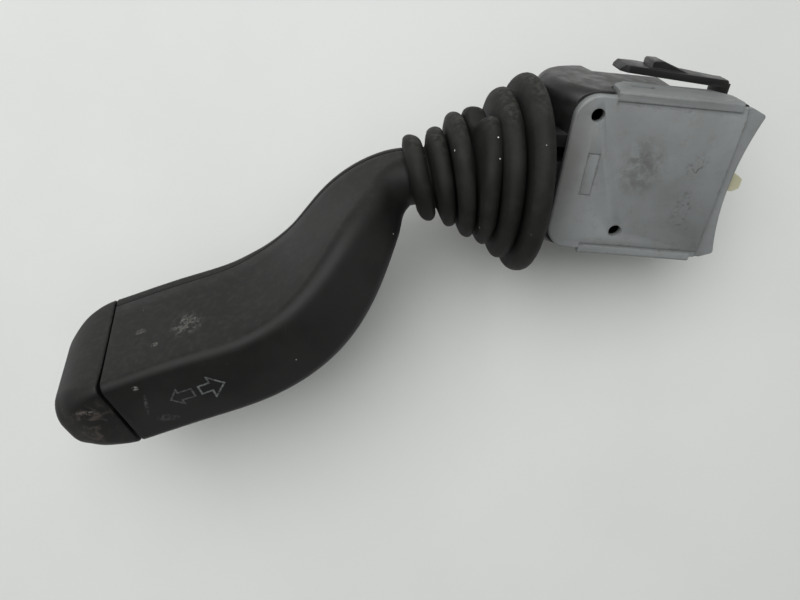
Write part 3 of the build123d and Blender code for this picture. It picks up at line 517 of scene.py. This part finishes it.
def handle_sizes(s):
    """Height, depth, corner radius and rear depth at s."""
    return sizes.at(min(max(s, 0.0), HANDLE_LENGTH))[0]


def on_handle(s, u, v):
    """The point s mm along the spine, u across it and v towards the cover side."""
    centre, _, across, deep = handle_frame(s)
    return centre + across * u + deep * v


print("the spine ends", on_handle(HANDLE_LENGTH, 0, 0).round(1), "mm from the origin")


# %% Sections of the two shells
def arc(cx, cy, r, first, last, count):
    """Points of an arc between two angles in degrees."""
    angles = np.radians(np.linspace(first, last, count))
    return [(cx + r * math.cos(t), cy + r * math.sin(t)) for t in angles]


def u_outline(height, depth, radius, low, inset, lip):
    """Open outline of a shell from its left lip over the crown to its right lip."""
    h = height / 2 - inset
    d = depth / 2 - inset
    r = max(radius - inset, 0.4)
    left = [(-h + lip, low), (-h + lip * 0.3, low + lip * 0.3), (-h, low + lip)]
    side = [(-h, low + lip + (d - r - low - lip) * k / 6) for k in range(1, 6)]
    corner = arc(-h + r, d - r, r, 180, 90, 11)
    top = [(-h + r + (2 * h - 2 * r) * k / 8, d) for k in range(1, 8)]
    half = left + side + corner
    return half + top + [(-x, y) for x, y in reversed(half)]


def shell_section(s, front, shrink=0.0):
    """Closed wall section, outer outline then inner outline back, in the frame of s."""
    height, depth, radius, rear = handle_sizes(s)
    if front:
        low, sign = rear - depth / 2, 1
    else:
        low, sign = depth / 2 - (rear - SEAM_GAP), -1
        radius = min(radius, rear - SEAM_GAP - 0.3)
    lip = min(SEAM_LIP, (depth / 2 - radius - low) * 0.6)
    outer = u_outline(height, depth, radius, low, shrink, lip)
    inner = u_outline(height, depth, radius, low, WALL, 0.0)
    ring = outer + list(reversed(inner))
    return [on_handle(s, u, v * sign) for u, v in ring]


def shell_skin(name, front):
    """Sweeps a shell's section along the spine, with its far lip rounded."""
    start = HANDLE_LENGTH - END_LIP
    rows = [shell_section(s, front) for s in np.linspace(0, start, 110)]
    for share in (0.3, 0.6, 0.85, 1.0):
        drop = END_LIP * (1 - math.sqrt(1 - share**2))
        rows.append(shell_section(start + END_LIP * share, front, shrink=drop))
    count = len(rows[0])
    verts = [p for row in rows for p in row]
    faces = loop_faces(len(rows), count)
    half = count // 2
    base = (len(rows) - 1) * count
    for k in range(half - 1):
        faces.append((base + k, base + k + 1, base + count - 2 - k, base + count - 1 - k))
    return mesh_object(name, verts, faces)


front_skin = shell_skin("front_skin", True)
rear_skin = shell_skin("rear_skin", False)
print("shell points:", len(front_skin.data.vertices), len(rear_skin.data.vertices))

# %% Round neck of the handle
NECK_RADIUS = 6.3
BORE_RADIUS = 4.6
NECK_START = 7.0        # length of the neck ahead of the first section


def neck_mesh():
    """Tube that joins the shell's round first section and runs under the bellows."""
    centre, forward, across, deep = handle_frame(0)
    outline = [(-NECK_START, BORE_RADIUS), (-NECK_START, NECK_RADIUS - 0.5),
               (-NECK_START + 0.15, NECK_RADIUS - 0.15), (-NECK_START + 0.5, NECK_RADIUS)]
    outline += [(a, NECK_RADIUS) for a in np.linspace(-NECK_START + 1.2, -2.2, 6)]
    outline += [(-1.2, NECK_RADIUS + 0.03), (-0.4, NECK_RADIUS + 0.12), (0.05, NECK_RADIUS + 0.17),
                (0.05, BORE_RADIUS)]
    sides = 72
    verts = []
    for along, radius in outline:
        for k in range(sides):
            t = 2 * math.pi * k / sides
            verts.append(centre + forward * along + across * (radius * math.cos(t))
                         + deep * (radius * math.sin(t)))
    return verts, loop_faces(len(outline), sides, closed_rows=True)


neck_skin = mesh_object("neck_skin", *neck_mesh())
print("neck points:", len(neck_skin.data.vertices))

# %% [markdown]
# ## The end cap
# The cap closes the handle with a soft pillow end. Its sections come from a table and shrink
# faster and faster, so a smooth curve through the table gives the round shoulder. The plug
# that holds it inside the shells is a plain tube, hidden but real.

# %% End cap
END_HEIGHT, END_DEPTH, END_RADIUS = STATIONS[-1, 3:6]
CAP_LENGTH = 14.8
CAP_LIP = 0.4           # rounding of the cap's rim at the seam
CAP_SLACK = 0.55        # how far the cap stands off on the cover's side, where its clip has worn
# past the seam, height, depth, corner radius, shift across and towards the cover side
CAP = np.array([
    (CAP_GAP, END_HEIGHT, END_DEPTH, END_RADIUS, 0.0, 0.0), (3.0, 20.2, 32.5, 2.5, 0.0, 0.0),
    (6.5, 19.7, 32.1, 3.8, 0.1, 0.1), (9.5, 18.4, 30.8, 4.8, 0.3, 0.5),
    (12.0, 16.2, 28.4, 5.4, 0.5, 1.1), (13.8, 13.2, 25.4, 4.8, 0.7, 1.7),
    (CAP_LENGTH, 9.6, 21.6, 3.6, 0.9, 2.1),
])


def pillow(height, depth, radius):
    """Closed rounded rectangle with the same number of points whatever its size."""
    h, d = height / 2, depth / 2
    r = min(radius, h - 0.05, d - 0.05)
    ring = []
    corners = ((h - r, d - r, 0), (-h + r, d - r, 90), (-h + r, -d + r, 180), (h - r, -d + r, 270))
    for cx, cy, a in corners:
        ring += arc(cx, cy, r, a, a + 90, 10)
        nx, ny = {0: (0, 1), 90: (-1, 0), 180: (0, -1), 270: (1, 0)}[a]
        run = 2 * (h - r) if ny else 2 * (d - r)
        ex, ey = ring[-1]
        for k in range(1, 5):
            ring.append((ex - ny * run * k / 5, ey + nx * run * k / 5))
    return ring


def cap_mesh():
    shape = Cubic(CAP[:, 0], CAP[:, 1:], np.zeros(5), (CAP[-1, 1:] - CAP[-2, 1:]) * 1.25)
    rows = []
    for share in (0.0, 0.2, 0.5, 1.0):
        drop = CAP_LIP * (1 - math.sin(share * math.pi / 2))
        rows.append((CAP_GAP + CAP_LIP * (1 - math.cos(share * math.pi / 2)),
                     END_HEIGHT - 2 * drop, END_DEPTH - 2 * drop, END_RADIUS, 0.0, 0.0))
    for at in np.linspace(CAP_GAP + 2 * CAP_LIP, CAP_LENGTH, 40):
        rows.append((at, *shape.at(at)[0]))
    at, height, depth, radius, du, dv = rows[-1]
    for shrink, rise in ((0.93, 0.02), (0.75, 0.03), (0.4, 0.04), (0.1, 0.04)):
        rows.append((at + rise, height * shrink, depth * shrink, radius * shrink, du, dv))
    verts = []
    for at, height, depth, radius, du, dv in rows:
        for u, v in pillow(height, depth, radius):
            off = CAP_SLACK * max(0.0, 2 * v / END_DEPTH - 0.55) / 0.45
            off *= max(0.0, 1 - (at - CAP_GAP) / 2.5)
            verts.append(on_handle(HANDLE_LENGTH + at + off, u + du, v + dv))
    count = len(verts) // len(rows)
    faces = loop_faces(len(rows), count)
    faces.append(tuple(range(count)))
    faces.append(tuple(range((len(rows) - 1) * count, len(rows) * count)))
    return verts, faces


cap_skin = mesh_object("cap_skin", *cap_mesh())
print("cap points:", len(cap_skin.data.vertices))

# %% [markdown]
# ## Printed arrows
# Two hollow direction arrows are printed on the front face. They are drawn as thin ink strips
# that follow the face: each corner is given as distance along the spine and across the face,
# the outline is cut into short steps, and every step is lifted a few hundredths of a
# millimetre. A shader mask would blur at this size, and a boolean would cut the shell.

# %% Arrows
ARROW_RIGHT = ((67.2, -1.8), (64.75, -2.0), (64.75, -3.8), (61.9, -0.7), (64.75, 2.7),
               (64.75, 0.5), (67.2, 0.7))
ARROW_LEFT = ((68.75, -1.8), (71.75, -1.8), (71.75, -2.9), (73.9, -0.35), (71.75, 2.1),
              (71.75, 0.7), (68.75, 0.7))
INK_WIDTH = 0.42
INK_LIFT, INK_SUNK = 0.03, -0.02


def ink_strip(corners, width):
    """Points and faces of a closed band of the given width along an outline."""
    outline = []
    for i, a in enumerate(corners):
        b = corners[(i + 1) % len(corners)]
        outline += [tuple(np.array(a) + (np.array(b) - a) * k / 4) for k in range(4)]
    n = len(outline)
    verts = []
    for i in range(n):
        before, here, after = (np.array(outline[j % n]) for j in (i - 1, i, i + 1))
        along_in, along_out = unit(here - before), unit(after - here)
        side = np.array([-(along_in + along_out)[1], (along_in + along_out)[0]])
        side = unit(side) / max(0.45, math.sqrt((1 + along_in @ along_out) / 2))
        for shift, lift in ((-0.5, INK_SUNK), (-0.5, INK_LIFT), (0.5, INK_LIFT), (0.5, INK_SUNK)):
            s, u = here + side * width * shift
            verts.append(on_handle(s, u, handle_sizes(s)[1] / 2 + lift))
    return verts, loop_faces(n, 4, closed_rows=True)


def ink_look(name, color, cover):
    """Thin worn ink: the plastic shows through where it has rubbed off."""
    look = Look(name, (0.018, 0.018, 0.017), 0.5)
    look.tint(look.patches(cover, cover + 0.16, 0.9, 5, 0.7), color, 0.9)
    look.bump(look.noise(0.3, 3), 0.01)
    return look.done()


arrows = []
for name, corners, color, cover in (("arrow_right", ARROW_RIGHT, (0.155, 0.165, 0.163), 0.38),
                                    ("arrow_left", ARROW_LEFT, (0.085, 0.086, 0.090), 0.42)):
    arrow = mesh_object(name, *ink_strip(corners, INK_WIDTH), smooth=False)
    arrow.data.materials.append(ink_look("ink_" + name, color, cover))
    arrows.append(arrow)
print("arrows:", len(arrows))

# %% [markdown]
# ## Wear that belongs to one place
# A finger has rubbed a patch on the broad upper face, and knocks have left nicks and scuffs near
# the end. Each row of a table puts on one mark by its distance along the spine and across the
# section, as a ruler would find it on the real handle, and breaks it up by a noise so that its
# rim is ragged. Painted marks would have to be painted again after every change of shape.

# %% Wear on the handle
UPPER_FACE = -10.3      # across from the spine to the broad upper face
COVER_FACE = 16.2       # from the spine to the face on the cover's side
CAP_AT = HANDLE_LENGTH + 7
NICK = ((0.45, 0.6, 0.5, 4, 0.7), (0.13, 0.12, 0.11))
FINE = (0.42, 0.58, 0.8, 4, 0.7)
# along the spine, across, towards the cover side; half sizes, softness; patches; colour, share
MARKS = (
    # the patch rubbed by a finger, and its bright rim
    ((66.8, UPPER_FACE, 4.1), (4.6, 4.0, 5.0), 0.35, (0.46, 0.56, 1.7, 5, 0.62, 0.8),
     (0.085, 0.082, 0.076), 0.75),
    ((66.8, UPPER_FACE, 4.1), (5.0, 4.4, 5.4), 0.5, (0.58, 0.66, 0.7, 5, 0.7, 0.8),
     (0.20, 0.195, 0.18), 0.6),
    # nicks
    ((77.6, UPPER_FACE, 1.3), (2.2, 1.0, 1.2), 0.4, *NICK, 0.8),
    ((73.6, UPPER_FACE, 7.7), (1.6, 0.8, 0.9), 0.4, *NICK, 0.8),
    # a chip and two lines on the cover's side
    ((78.8, -7.0, COVER_FACE), (0.9, 0.9, 0.9), 0.3, FINE, (0.30, 0.30, 0.29), 0.8),
    ((79.2, -1.5, COVER_FACE), (0.5, 4.2, 1.5), 0.3, FINE, (0.085, 0.085, 0.088), 0.8),
    ((77.0, 4.6, COVER_FACE), (3.4, 1.6, 2.0), 0.3, FINE, (0.060, 0.060, 0.062), 0.8),
    # on the cap, a broad scuff and a dash
    ((CAP_AT, 0.0, 15.0), (9, 11, 8), 0.2, (0.46, 0.66, 3.2, 6, 0.66, 0.8),
     (0.082, 0.068, 0.060), 0.75),
    ((CAP_AT - 1, -4.5, 16.0), (3.2, 1.0, 2.0), 0.4, (0.42, 0.56, 0.9, 4, 0.7),
     (0.16, 0.14, 0.13), 0.7),
)
worn = handle_look()
masks = [worn.mark(on_handle(*at), *mark) for at, *mark in MARKS]
SCUFF = 7               # this mark has also lost its shine
worn.matte(masks[SCUFF], 0.75)
print("marks on the handle:", len(masks))

# %% Ragged seam
# burrs and dirt make the cap's seam ragged on the upper face
centre, forward = handle_frame(HANDLE_LENGTH + 0.15)[:2]
offset = worn.math("SUBTRACT", worn.dot(worn.coords, tuple(forward)),
                   float(np.dot(centre, forward)) * MM)
jitter = worn.math("MULTIPLY", worn.math("SUBTRACT", worn.noise(1.1, 5, 0.7), 0.5), 2.4 * MM)
distance = worn.math("ABSOLUTE", worn.math("ADD", offset, jitter))
band = worn.step(distance, 0.42 * MM, 0.26 * MM)
upper = worn.spot(on_handle(HANDLE_LENGTH, -12, 0), (9, 9, 17), 0.8)
worn.tint(worn.both(band, upper), (0.0015, 0.0015, 0.0015), 0.9)
handle_black = worn.done()
print("nodes in the handle's material:", len(worn.tree.nodes))

# %% Handle bodies
for piece, node in ((front_skin, "front_shell"), (rear_skin, "rear_shell"), (neck_skin, None),
                    (cap_skin, "end_cap")):
    piece.data.materials.append(handle_black)
    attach(piece, "lever")
    if node:
        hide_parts(node)
for arrow in arrows:
    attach(arrow, "lever")
print("handle dressed")

# %% [markdown]
# ## The bellows
# The rubber boot is a row of rolled rings on a drooping axis, getting smaller towards the
# handle. One Geometry Nodes group sweeps a circle along the axis and takes its radius from the
# path, so a ring is only a bump in a table of radii. Sculpted rings would be hard to keep even.
# The boot spans two joints, so it is made as two meshes that meet in a valley: a wide half
# from the flange and a narrow half towards the handle.

# %% Sizes of the rings
FLANGE = ((0.5, -3.8, -0.5), 24.0, 2.4)          # centre, radius over the bead, bead radius
# centre of each ring, radius over its crest, radius of the rolled edge
RINGS = (
    ((-4.6, -4.0, -0.2), 20.7, 1.95),
    ((-9.4, -4.5, 0.1), 17.3, 1.90),
    ((-14.2, -5.1, 0.3), 15.2, 1.85),
    ((-18.6, -5.9, 0.3), 12.5, 1.80),
    ((-24.0, -6.6, 0.1), 10.8, 2.25),
)
# how far each ring has drooped, in degrees: flange, the five rings, mouth
DROOPS = (2.6, 4.0, 8.0, 12.0, 14.5, 18.5, 18.5)
RING_YAW = 3.0          # the rings also lean back on the cover's side
SPLIT_RING = 2          # the two halves meet in the valley after this ring
MOUTH = ((-25.7, -6.9, 0.0), 7.6)
VALLEY_DEPTH = 4.7
VALLEY_RADIUS = 7.6     # smallest radius of a valley
MEET_RADIUS = 8.8       # the same where the halves meet
VALLEY_HALF = 0.28      # half width of a valley's floor
VALLEY_SHARE = 0.54     # how far towards the next ring the valley lies
BOOT_SIDES = 128
print("rings:", len(RINGS))


# %% Profile of the rings
def rolled(crest, roll, angles, side_fold):
    """Points (place along, radius, fold) of a rolled edge."""
    return [(math.sin(t) * roll, crest - roll + math.cos(t) * roll,
             max(0.0, side_fold + (1 - side_fold) * math.cos(t))) for t in np.radians(angles)]


def ring_points(crest, roll):
    """The same for one ring: rolled, then a cone to the handle."""
    points = rolled(crest, roll, range(-108, 61, 12), 0.35)
    at, radius, fold = points[-1]
    for step in (0.3, 0.65, 1.0):
        points.append((at + 0.55 * step, radius - 1.5 * step, fold * (1 - 0.3 * step)))
    return points


def boot_profile():
    """Rows (centre, radius, droop, ring, fold) down the boot, and where the halves meet."""
    stops = [np.array(FLANGE[0], float)] + [np.array(r[0], float) for r in RINGS]
    stops.append(np.array(MOUTH[0], float))
    at = np.r_[0, np.cumsum([np.linalg.norm(b - a) for a, b in zip(stops, stops[1:])])]
    axis = Cubic(at, np.array(stops), (-1.0, -0.04, 0.03), start_slope)
    rows = [(-1.15, radius, 0, 0.3) for radius in (11.9, 14.5, 18.0, 20.4)]
    rows += [(along, radius, 0, fold)
             for along, radius, fold in rolled(*FLANGE[1:], range(-80, 81, 16), 0.4)]
    crests = [FLANGE[1]] + [r[1] for r in RINGS]
    meet = None
    for i, (_, crest, roll) in enumerate(RINGS):
        # the valley where the halves meet stays clear of the stem when the lever tips
        floor = MEET_RADIUS if i == SPLIT_RING + 1 else VALLEY_RADIUS
        low = max(min(crests[i], crest) - VALLEY_DEPTH, floor)
        middle = at[i] + (at[i + 1] - at[i]) * VALLEY_SHARE
        rows += [(middle + shift, low + abs(shift) / VALLEY_HALF * 0.3, 0, 0.0)
                 for shift in (-VALLEY_HALF, 0.0, VALLEY_HALF)]
        if i == SPLIT_RING + 1:
            meet = len(rows) - 2
        rows += [(at[i + 1] + along, radius, i + 1, fold)
                 for along, radius, fold in ring_points(crest, roll)]
    end = at[-1]
    rows += [(end + along, radius, 0, 0.2) for along, radius in (
        (-0.75, MOUTH[1] + 0.15), (-0.35, MOUTH[1]), (-0.1, MOUTH[1] - 0.25),
        (0, MOUTH[1] - 0.7), (0, 6.5), (-1.5, 6.5))]
    found = []
    for s, radius, ring, fold in rows:
        centre = axis.at(max(s, 0.0))[0] - np.array([min(s, 0.0), 0, 0])
        found.append((centre, radius, np.interp(s, at, DROOPS), ring, fold))
    return found, meet


profile, meet_row = boot_profile()
print(len(profile), "rows, halves meet at row", meet_row)


# %% Sweep group
def sweep_group():
    """Geometry Nodes: a path of points with a radius each becomes a round skin."""
    group = bpy.data.node_groups.new("bellows_sweep", "GeometryNodeTree")
    for name, kind in (("Path", "Geometry"), ("Sides", "Int"), ("Rubber", "Material")):
        group.interface.new_socket(name, in_out="INPUT", socket_type="NodeSocket" + kind)
    group.interface.new_socket("Skin", in_out="OUTPUT", socket_type="NodeSocketGeometry")
    net = Nodes(group)
    given = net.node("NodeGroupInput").outputs
    path = net.node("GeometryNodeMeshToCurve", {"Mesh": given["Path"]})
    circle = net.node("GeometryNodeCurvePrimitiveCircle",
                      {"Resolution": given["Sides"], "Radius": 1.0})
    radius = net.node("GeometryNodeInputNamedAttribute", {"Name": "ring_radius"},
                      data_type="FLOAT")
    sweep = net.node("GeometryNodeCurveToMesh", {
        "Curve": path.outputs["Curve"], "Profile Curve": circle.outputs["Curve"],
        "Scale": radius.outputs["Attribute"]})
    dress = net.node("GeometryNodeSetMaterial",
                     {"Geometry": sweep.outputs["Mesh"], "Material": given["Rubber"]})
    net.node("NodeGroupOutput", {"Skin": dress.outputs["Geometry"]})
    return group


bellows_sweep = sweep_group()
print("group has", len(bellows_sweep.nodes), "nodes,", len(bellows_sweep.links), "links")

# %% Rings on the drooping axis
def swept(name, rows):
    """Runs the sweep on the rows, keeping every ring square to the boot's own axis."""
    mesh = bpy.data.meshes.new(name)
    count = len(rows)
    # the path is straight here; the rings are put on the drooping axis afterwards
    mesh.from_pydata([(MM * i, 0, 0) for i in range(count)],
                     [(i, i + 1) for i in range(count - 1)], [])
    attribute = mesh.attributes.new("ring_radius", "FLOAT", "POINT")
    attribute.data.foreach_set("value", [row[1] * MM for row in rows])
    obj = add_object(name, mesh)
    modifier = obj.modifiers.new("sweep", "NODES")
    modifier.node_group = bellows_sweep
    given = {"Sides": BOOT_SIDES, "Rubber": rubber}
    for item in bellows_sweep.interface.items_tree:
        if item.name in given:
            modifier[item.identifier] = given[item.name]
    apply_modifiers(obj)
    return obj


def ring_normal(droop):
    """Direction of the boot's axis where it has drooped that far."""
    return unit((-1, -math.tan(math.radians(droop)), math.tan(math.radians(RING_YAW))))


def bend_rings(obj, first, last):
    """Points of the swept rings, each in its place on the axis, and their rows."""
    swept_points = np.array([v.co for v in obj.data.vertices]) / MM
    index = np.clip(np.rint(swept_points[:, 0]).astype(int) + first, first, last)
    points = []
    for i, (_, high, deep) in zip(index, swept_points):
        centre, _, droop = profile[i][:3]
        along = ring_normal(droop)
        up = unit(np.array([0, 1.0, 0]) - along * along[1])
        points.append(centre + up * high + np.cross(up, along) * deep)
    return np.array(points), index


print("ring 0 faces", ring_normal(DROOPS[0]).round(3))

# %% [markdown]
# ### Rubber that has set
# Years in one position leave their mark: crests wave a little, and one ring has folded over
# itself on the cover's side. A cloth simulation could fold it, but would be slow and hard to
# steer. Pushing the points of one ring in and along by smooth humps of the angle round the
# axis gives the same shape, and can be tuned by eye.

# %% Fold and slump
FOLD_AT = 8.0           # degrees round the axis from +Y towards +Z
FOLDED_RING = 2
SET_REACH = 9.0         # rubber nearer to the axis than this has kept its shape


def hump(value, middle, width):
    """A smooth bump of height 1 about the middle."""
    return math.exp(-((value - middle) / width) ** 2)


def slump(points, index):
    """Uneven crests, and one ring folded over itself."""
    out = points.copy()
    for n, i in enumerate(index):
        centre, radius, _, ring, fold = profile[i]
        radial = points[n] - centre
        angle = math.degrees(math.atan2(radial[2], radial[1]))
        reach = np.linalg.norm(radial)
        if reach < SET_REACH:
            continue
        wave = (0.16 * math.sin(math.radians(angle * 2 + i * 7))
                + 0.10 * math.sin(math.radians(angle * 5 + i * 23)))
        push, slide = wave * fold, 0.0
        if ring == FOLDED_RING:
            front = 1 / (1 + math.exp(-(angle - FOLD_AT) / 3.0))
            push += (-4.4 * hump(angle, FOLD_AT, 8) - 0.9 * (1 - front) * hump(angle, -25, 45)
                     + 0.7 * front * hump(angle, 34, 22)) * (0.3 + 0.7 * fold)
            slide = 1.5 * front * hump(angle, 30, 40) - 1.0 * (1 - front) * hump(angle, -22, 40)
        elif ring == FOLDED_RING - 1:
            push -= 1.0 * hump(angle, FOLD_AT + 8, 16) * fold
        out[n] += radial / reach * push + np.array([slide, 0, 0])
    return out


print("ring", FOLDED_RING, "is folded at", FOLD_AT, "degrees")

# %% Two halves of the boot
halves = []
for name, first, last in (("boot_wide", 0, meet_row),
                          ("boot_narrow", meet_row, len(profile) - 1)):
    half = swept(name, profile[first:last + 1])
    points, index = bend_rings(half, first, last)
    points = mm(slump(points, index))
    half.data.vertices.foreach_set("co", points.ravel())
    fold = half.data.attributes.new("fold", "FLOAT", "POINT")
    fold.data.foreach_set("value", np.array([profile[i][4] for i in index], np.float32))
    half.data.update()
    half.data.shade_smooth()
    halves.append(half)
print("boot points:", [len(half.data.vertices) for half in halves])


# %% Boot halves turned outwards
def face_out(bm, inside):
    """Turns the faces of an open skin away from a point inside it."""
    bmesh.ops.recalc_face_normals(bm, faces=bm.faces)
    score = sum(face.normal.dot(face.calc_center_median() - Vector(inside)) * face.calc_area()
                for face in bm.faces)
    if score < 0:
        bmesh.ops.reverse_faces(bm, faces=bm.faces)


for half, middle in zip(halves, ((-0.006, -0.004, 0), (-0.0205, -0.006, 0))):
    edit_mesh(half, face_out, middle)
boot_wide, boot_narrow = halves
# from the flange to just past the meeting valley, and from just before it to the last ring
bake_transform(boot_wide)
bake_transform(boot_narrow)
for half in halves:
    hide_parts("boot")

# %% [markdown]
# ## Bevelled mouldings
# Moulded plastic has no knife edges: a small radius catches the light and tells the eye how
# big the part is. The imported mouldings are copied, their flat triangles joined back into whole
# faces, and a narrow bevel is cut on the sharp edges. Bevelling the triangles as they come
# would leave a bevel across every flat face.

# %% Bevelled copies
FLAT_ANGLE = math.radians(0.6)       # faces that differ less are one flat face
SHARP_ANGLE = math.radians(32)       # edges sharper than this get a bevel


def packed_copy(node, name, material):
    """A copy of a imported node's mesh in one material."""
    obj = add_object(name, nodes[node].data.copy())
    obj.data.materials.clear()
    obj.data.materials.append(material)
    return obj


def join_flats(bm):
    """Joins the flat triangles back into whole faces."""
    bmesh.ops.remove_doubles(bm, verts=bm.verts, dist=WELD)
    bmesh.ops.dissolve_limit(bm, angle_limit=FLAT_ANGLE, verts=bm.verts, edges=bm.edges)
    for face in bm.faces:
        face.smooth = True
        face.material_index = 0
    bmesh.ops.recalc_face_normals(bm, faces=bm.faces)


def moulded(node, name, width, material):
    """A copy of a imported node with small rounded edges, which stands for the node."""
    obj = packed_copy(node, name, material)
    edit_mesh(obj, join_flats)
    bevel = obj.modifiers.new("round", "BEVEL")
    bevel.width = width * MM
    bevel.segments = 2
    bevel.limit_method = "ANGLE"
    bevel.angle_limit = SHARP_ANGLE
    bevel.harden_normals = True
    bevel.use_clamp_overlap = True
    apply_modifiers(obj)
    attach(obj, nodes[node]["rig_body"])
    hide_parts(node)
    return obj


housing_skin = moulded("housing", "housing_skin", 0.22, black_plastic)
cover_skin = moulded("cover", "cover_skin", 0.25, cover_grey)
print("bevelled:", len(housing_skin.data.polygons), len(cover_skin.data.polygons), "faces")

# %% [markdown]
# ## The pawl's hairpin spring
# A bent wire grips a post of the housing and the pawl's tail, and centres the pawl. Rigid, its
# ends would cut through the tail when the pawl swings. Here a welded copy of the wire, with its
# place baked in, stands for it, and the imported wire is hidden.

# %% Hairpin spring
hairpin_spring = packed_copy("pawl_spring", "hairpin_spring", looks["steel"])
edit_mesh(hairpin_spring, weld)
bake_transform(hairpin_spring)
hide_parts("pawl_spring")
print("hairpin points:", len(hairpin_spring.data.vertices))

# %% [markdown]
# ## Materials for the pieces inside
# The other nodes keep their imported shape. Each gets the worn material of its own stuff, with
# edges rounded in the shader: from outside only slivers of them show.

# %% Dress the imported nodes
STUFF = {
    "grey": ("terminal_base",),
    "black": ("bearing_plate", "swivel_carrier"),
    "natural": ("detent_track", "turn_slider", "beam_slider", "cancel_pawl"),
    "stem": ("lever_stem",),
    "brass": ("blade_terminals", "fixed_contacts", "turn_brushes", "beam_brushes"),
    "steel": ("pawl_pin", "beam_pin", "beam_return_spring", "detent_plunger", "detent_spring",
              "turn_brush_springs", "beam_brush_springs"),
}
dressed = [(node, looks[stuff]) for stuff, group in STUFF.items() for node in group]
for node, material in dressed:
    for slot in nodes[node].material_slots:
        slot.material = material
print("dressed:", len(dressed), "nodes")

# %% [markdown]
# ## Camera, floor and light
# The main view looks almost straight down on a pale table. The table lies square to the view,
# under the body and the handle. Its back is see-through, so it hides no view from the other
# side. One big soft light stands at the top of the view and a weak one fills the shadows, as
# under a workshop ceiling.

# %% Camera
RIGHT = Vector((0.9949, 0.0977, 0.0241))
LIFT = Vector(UP)
BACK = Vector((-0.0719, 0.5227, 0.8495))
CAMERA_AT = Vector((-0.0381, 0.0505, 0.1514))

camera_data = bpy.data.cameras.new("camera")
camera_data.lens = 28.82
camera_data.sensor_width = 36.0
camera_data.clip_start = 0.005
camera_data.dof.use_dof = False
camera = add_object("camera", camera_data)
turn = Matrix((RIGHT, LIFT, BACK)).transposed()
camera.matrix_world = Matrix.Translation(CAMERA_AT) @ turn.to_4x4()
bpy.context.scene.camera = camera
print("camera looks down from", tuple(round(v, 4) for v in CAMERA_AT))


# %% Floor
FLOOR_SIZE = 1.2        # metres
FLOOR_COUNT = 25        # points along a side
FLOOR_GAP = 0.0002      # metres of air between the part and the table


def table_look():
    """Pale matt paper with faint marks; its back side is clear."""
    look = Look("table", (0.62, 0.63, 0.62), 0.6)
    look.tint(look.patches(0.3, 0.7, 60, 4), (0.66, 0.67, 0.66), 0.6)
    look.tint(look.patches(0.66, 0.8, 2.0, 4), (0.57, 0.58, 0.56), 0.3)
    look.bump(look.noise(1.2, 5), 0.01)
    back = look.node("ShaderNodeNewGeometry").outputs["Backfacing"]
    clear = look.node("ShaderNodeBsdfTransparent").outputs["BSDF"]
    mix = look.node("ShaderNodeMixShader", {0: back, 1: look.bsdf.outputs["BSDF"], 2: clear})
    look.put(look.tree.nodes["Material Output"].inputs["Surface"], mix.outputs["Shader"])
    return look.done()


def make_floor():
    """A square sheet of small quads, square to the view."""
    middle = Vector((-0.03, -0.01, 0))
    low = min(vertex.co.dot(BACK) for obj in nodes.values() for vertex in obj.data.vertices)
    middle = middle - BACK * middle.dot(BACK) + BACK * (low - FLOOR_GAP)
    ticks = [(i / (FLOOR_COUNT - 1) - 0.5) * FLOOR_SIZE for i in range(FLOOR_COUNT)]
    verts = [middle + RIGHT * a + LIFT * b for a in ticks for b in ticks]
    faces = [(at, at + FLOOR_COUNT, at + FLOOR_COUNT + 1, at + 1)
             for at in range(FLOOR_COUNT * (FLOOR_COUNT - 1)) if (at + 1) % FLOOR_COUNT]
    mesh = bpy.data.meshes.new("table")
    mesh.from_pydata(verts, [], faces)
    mesh.materials.append(table_look())
    return add_object("table", mesh)


floor = make_floor()
print("floor normal:", floor.data.polygons[0].normal)

# %% Lights
def area_light(name, at, size, power):
    """Square lamp at a place given in the view's axes, aimed at the switch."""
    data = bpy.data.lights.new(name, "AREA")
    data.shape = "SQUARE"
    data.size = size
    data.energy = power
    lamp = add_object(name, data)
    target = Vector((-0.02, -0.01, 0.0))
    lamp.location = target + RIGHT * at[0] + LIFT * at[1] + BACK * at[2]
    lamp.rotation_euler = (target - lamp.location).to_track_quat("-Z", "Y").to_euler()


area_light("key", (-0.12, 0.24, 0.64), 0.72, 4.3)
area_light("fill", (-0.40, -0.10, 0.60), 0.9, 1.2)
world = bpy.data.worlds.new("world")
bpy.context.scene.world = world
world.use_nodes = True
background = world.node_tree.nodes["Background"]
background.inputs["Color"].default_value = (0.97, 1.0, 0.965, 1)
# the room is darker at the bottom of the view, where someone stands
room = Nodes(world.node_tree)
direction = room.node("ShaderNodeTexCoord").outputs["Generated"]
shade = room.step(room.dot(direction, UP), -0.95, 0.15, 0.09, 0.46)
room.put(background.inputs["Strength"], shade)
bpy.context.scene.view_settings.view_transform = "Standard"
print("lights:", len(bpy.data.lights))
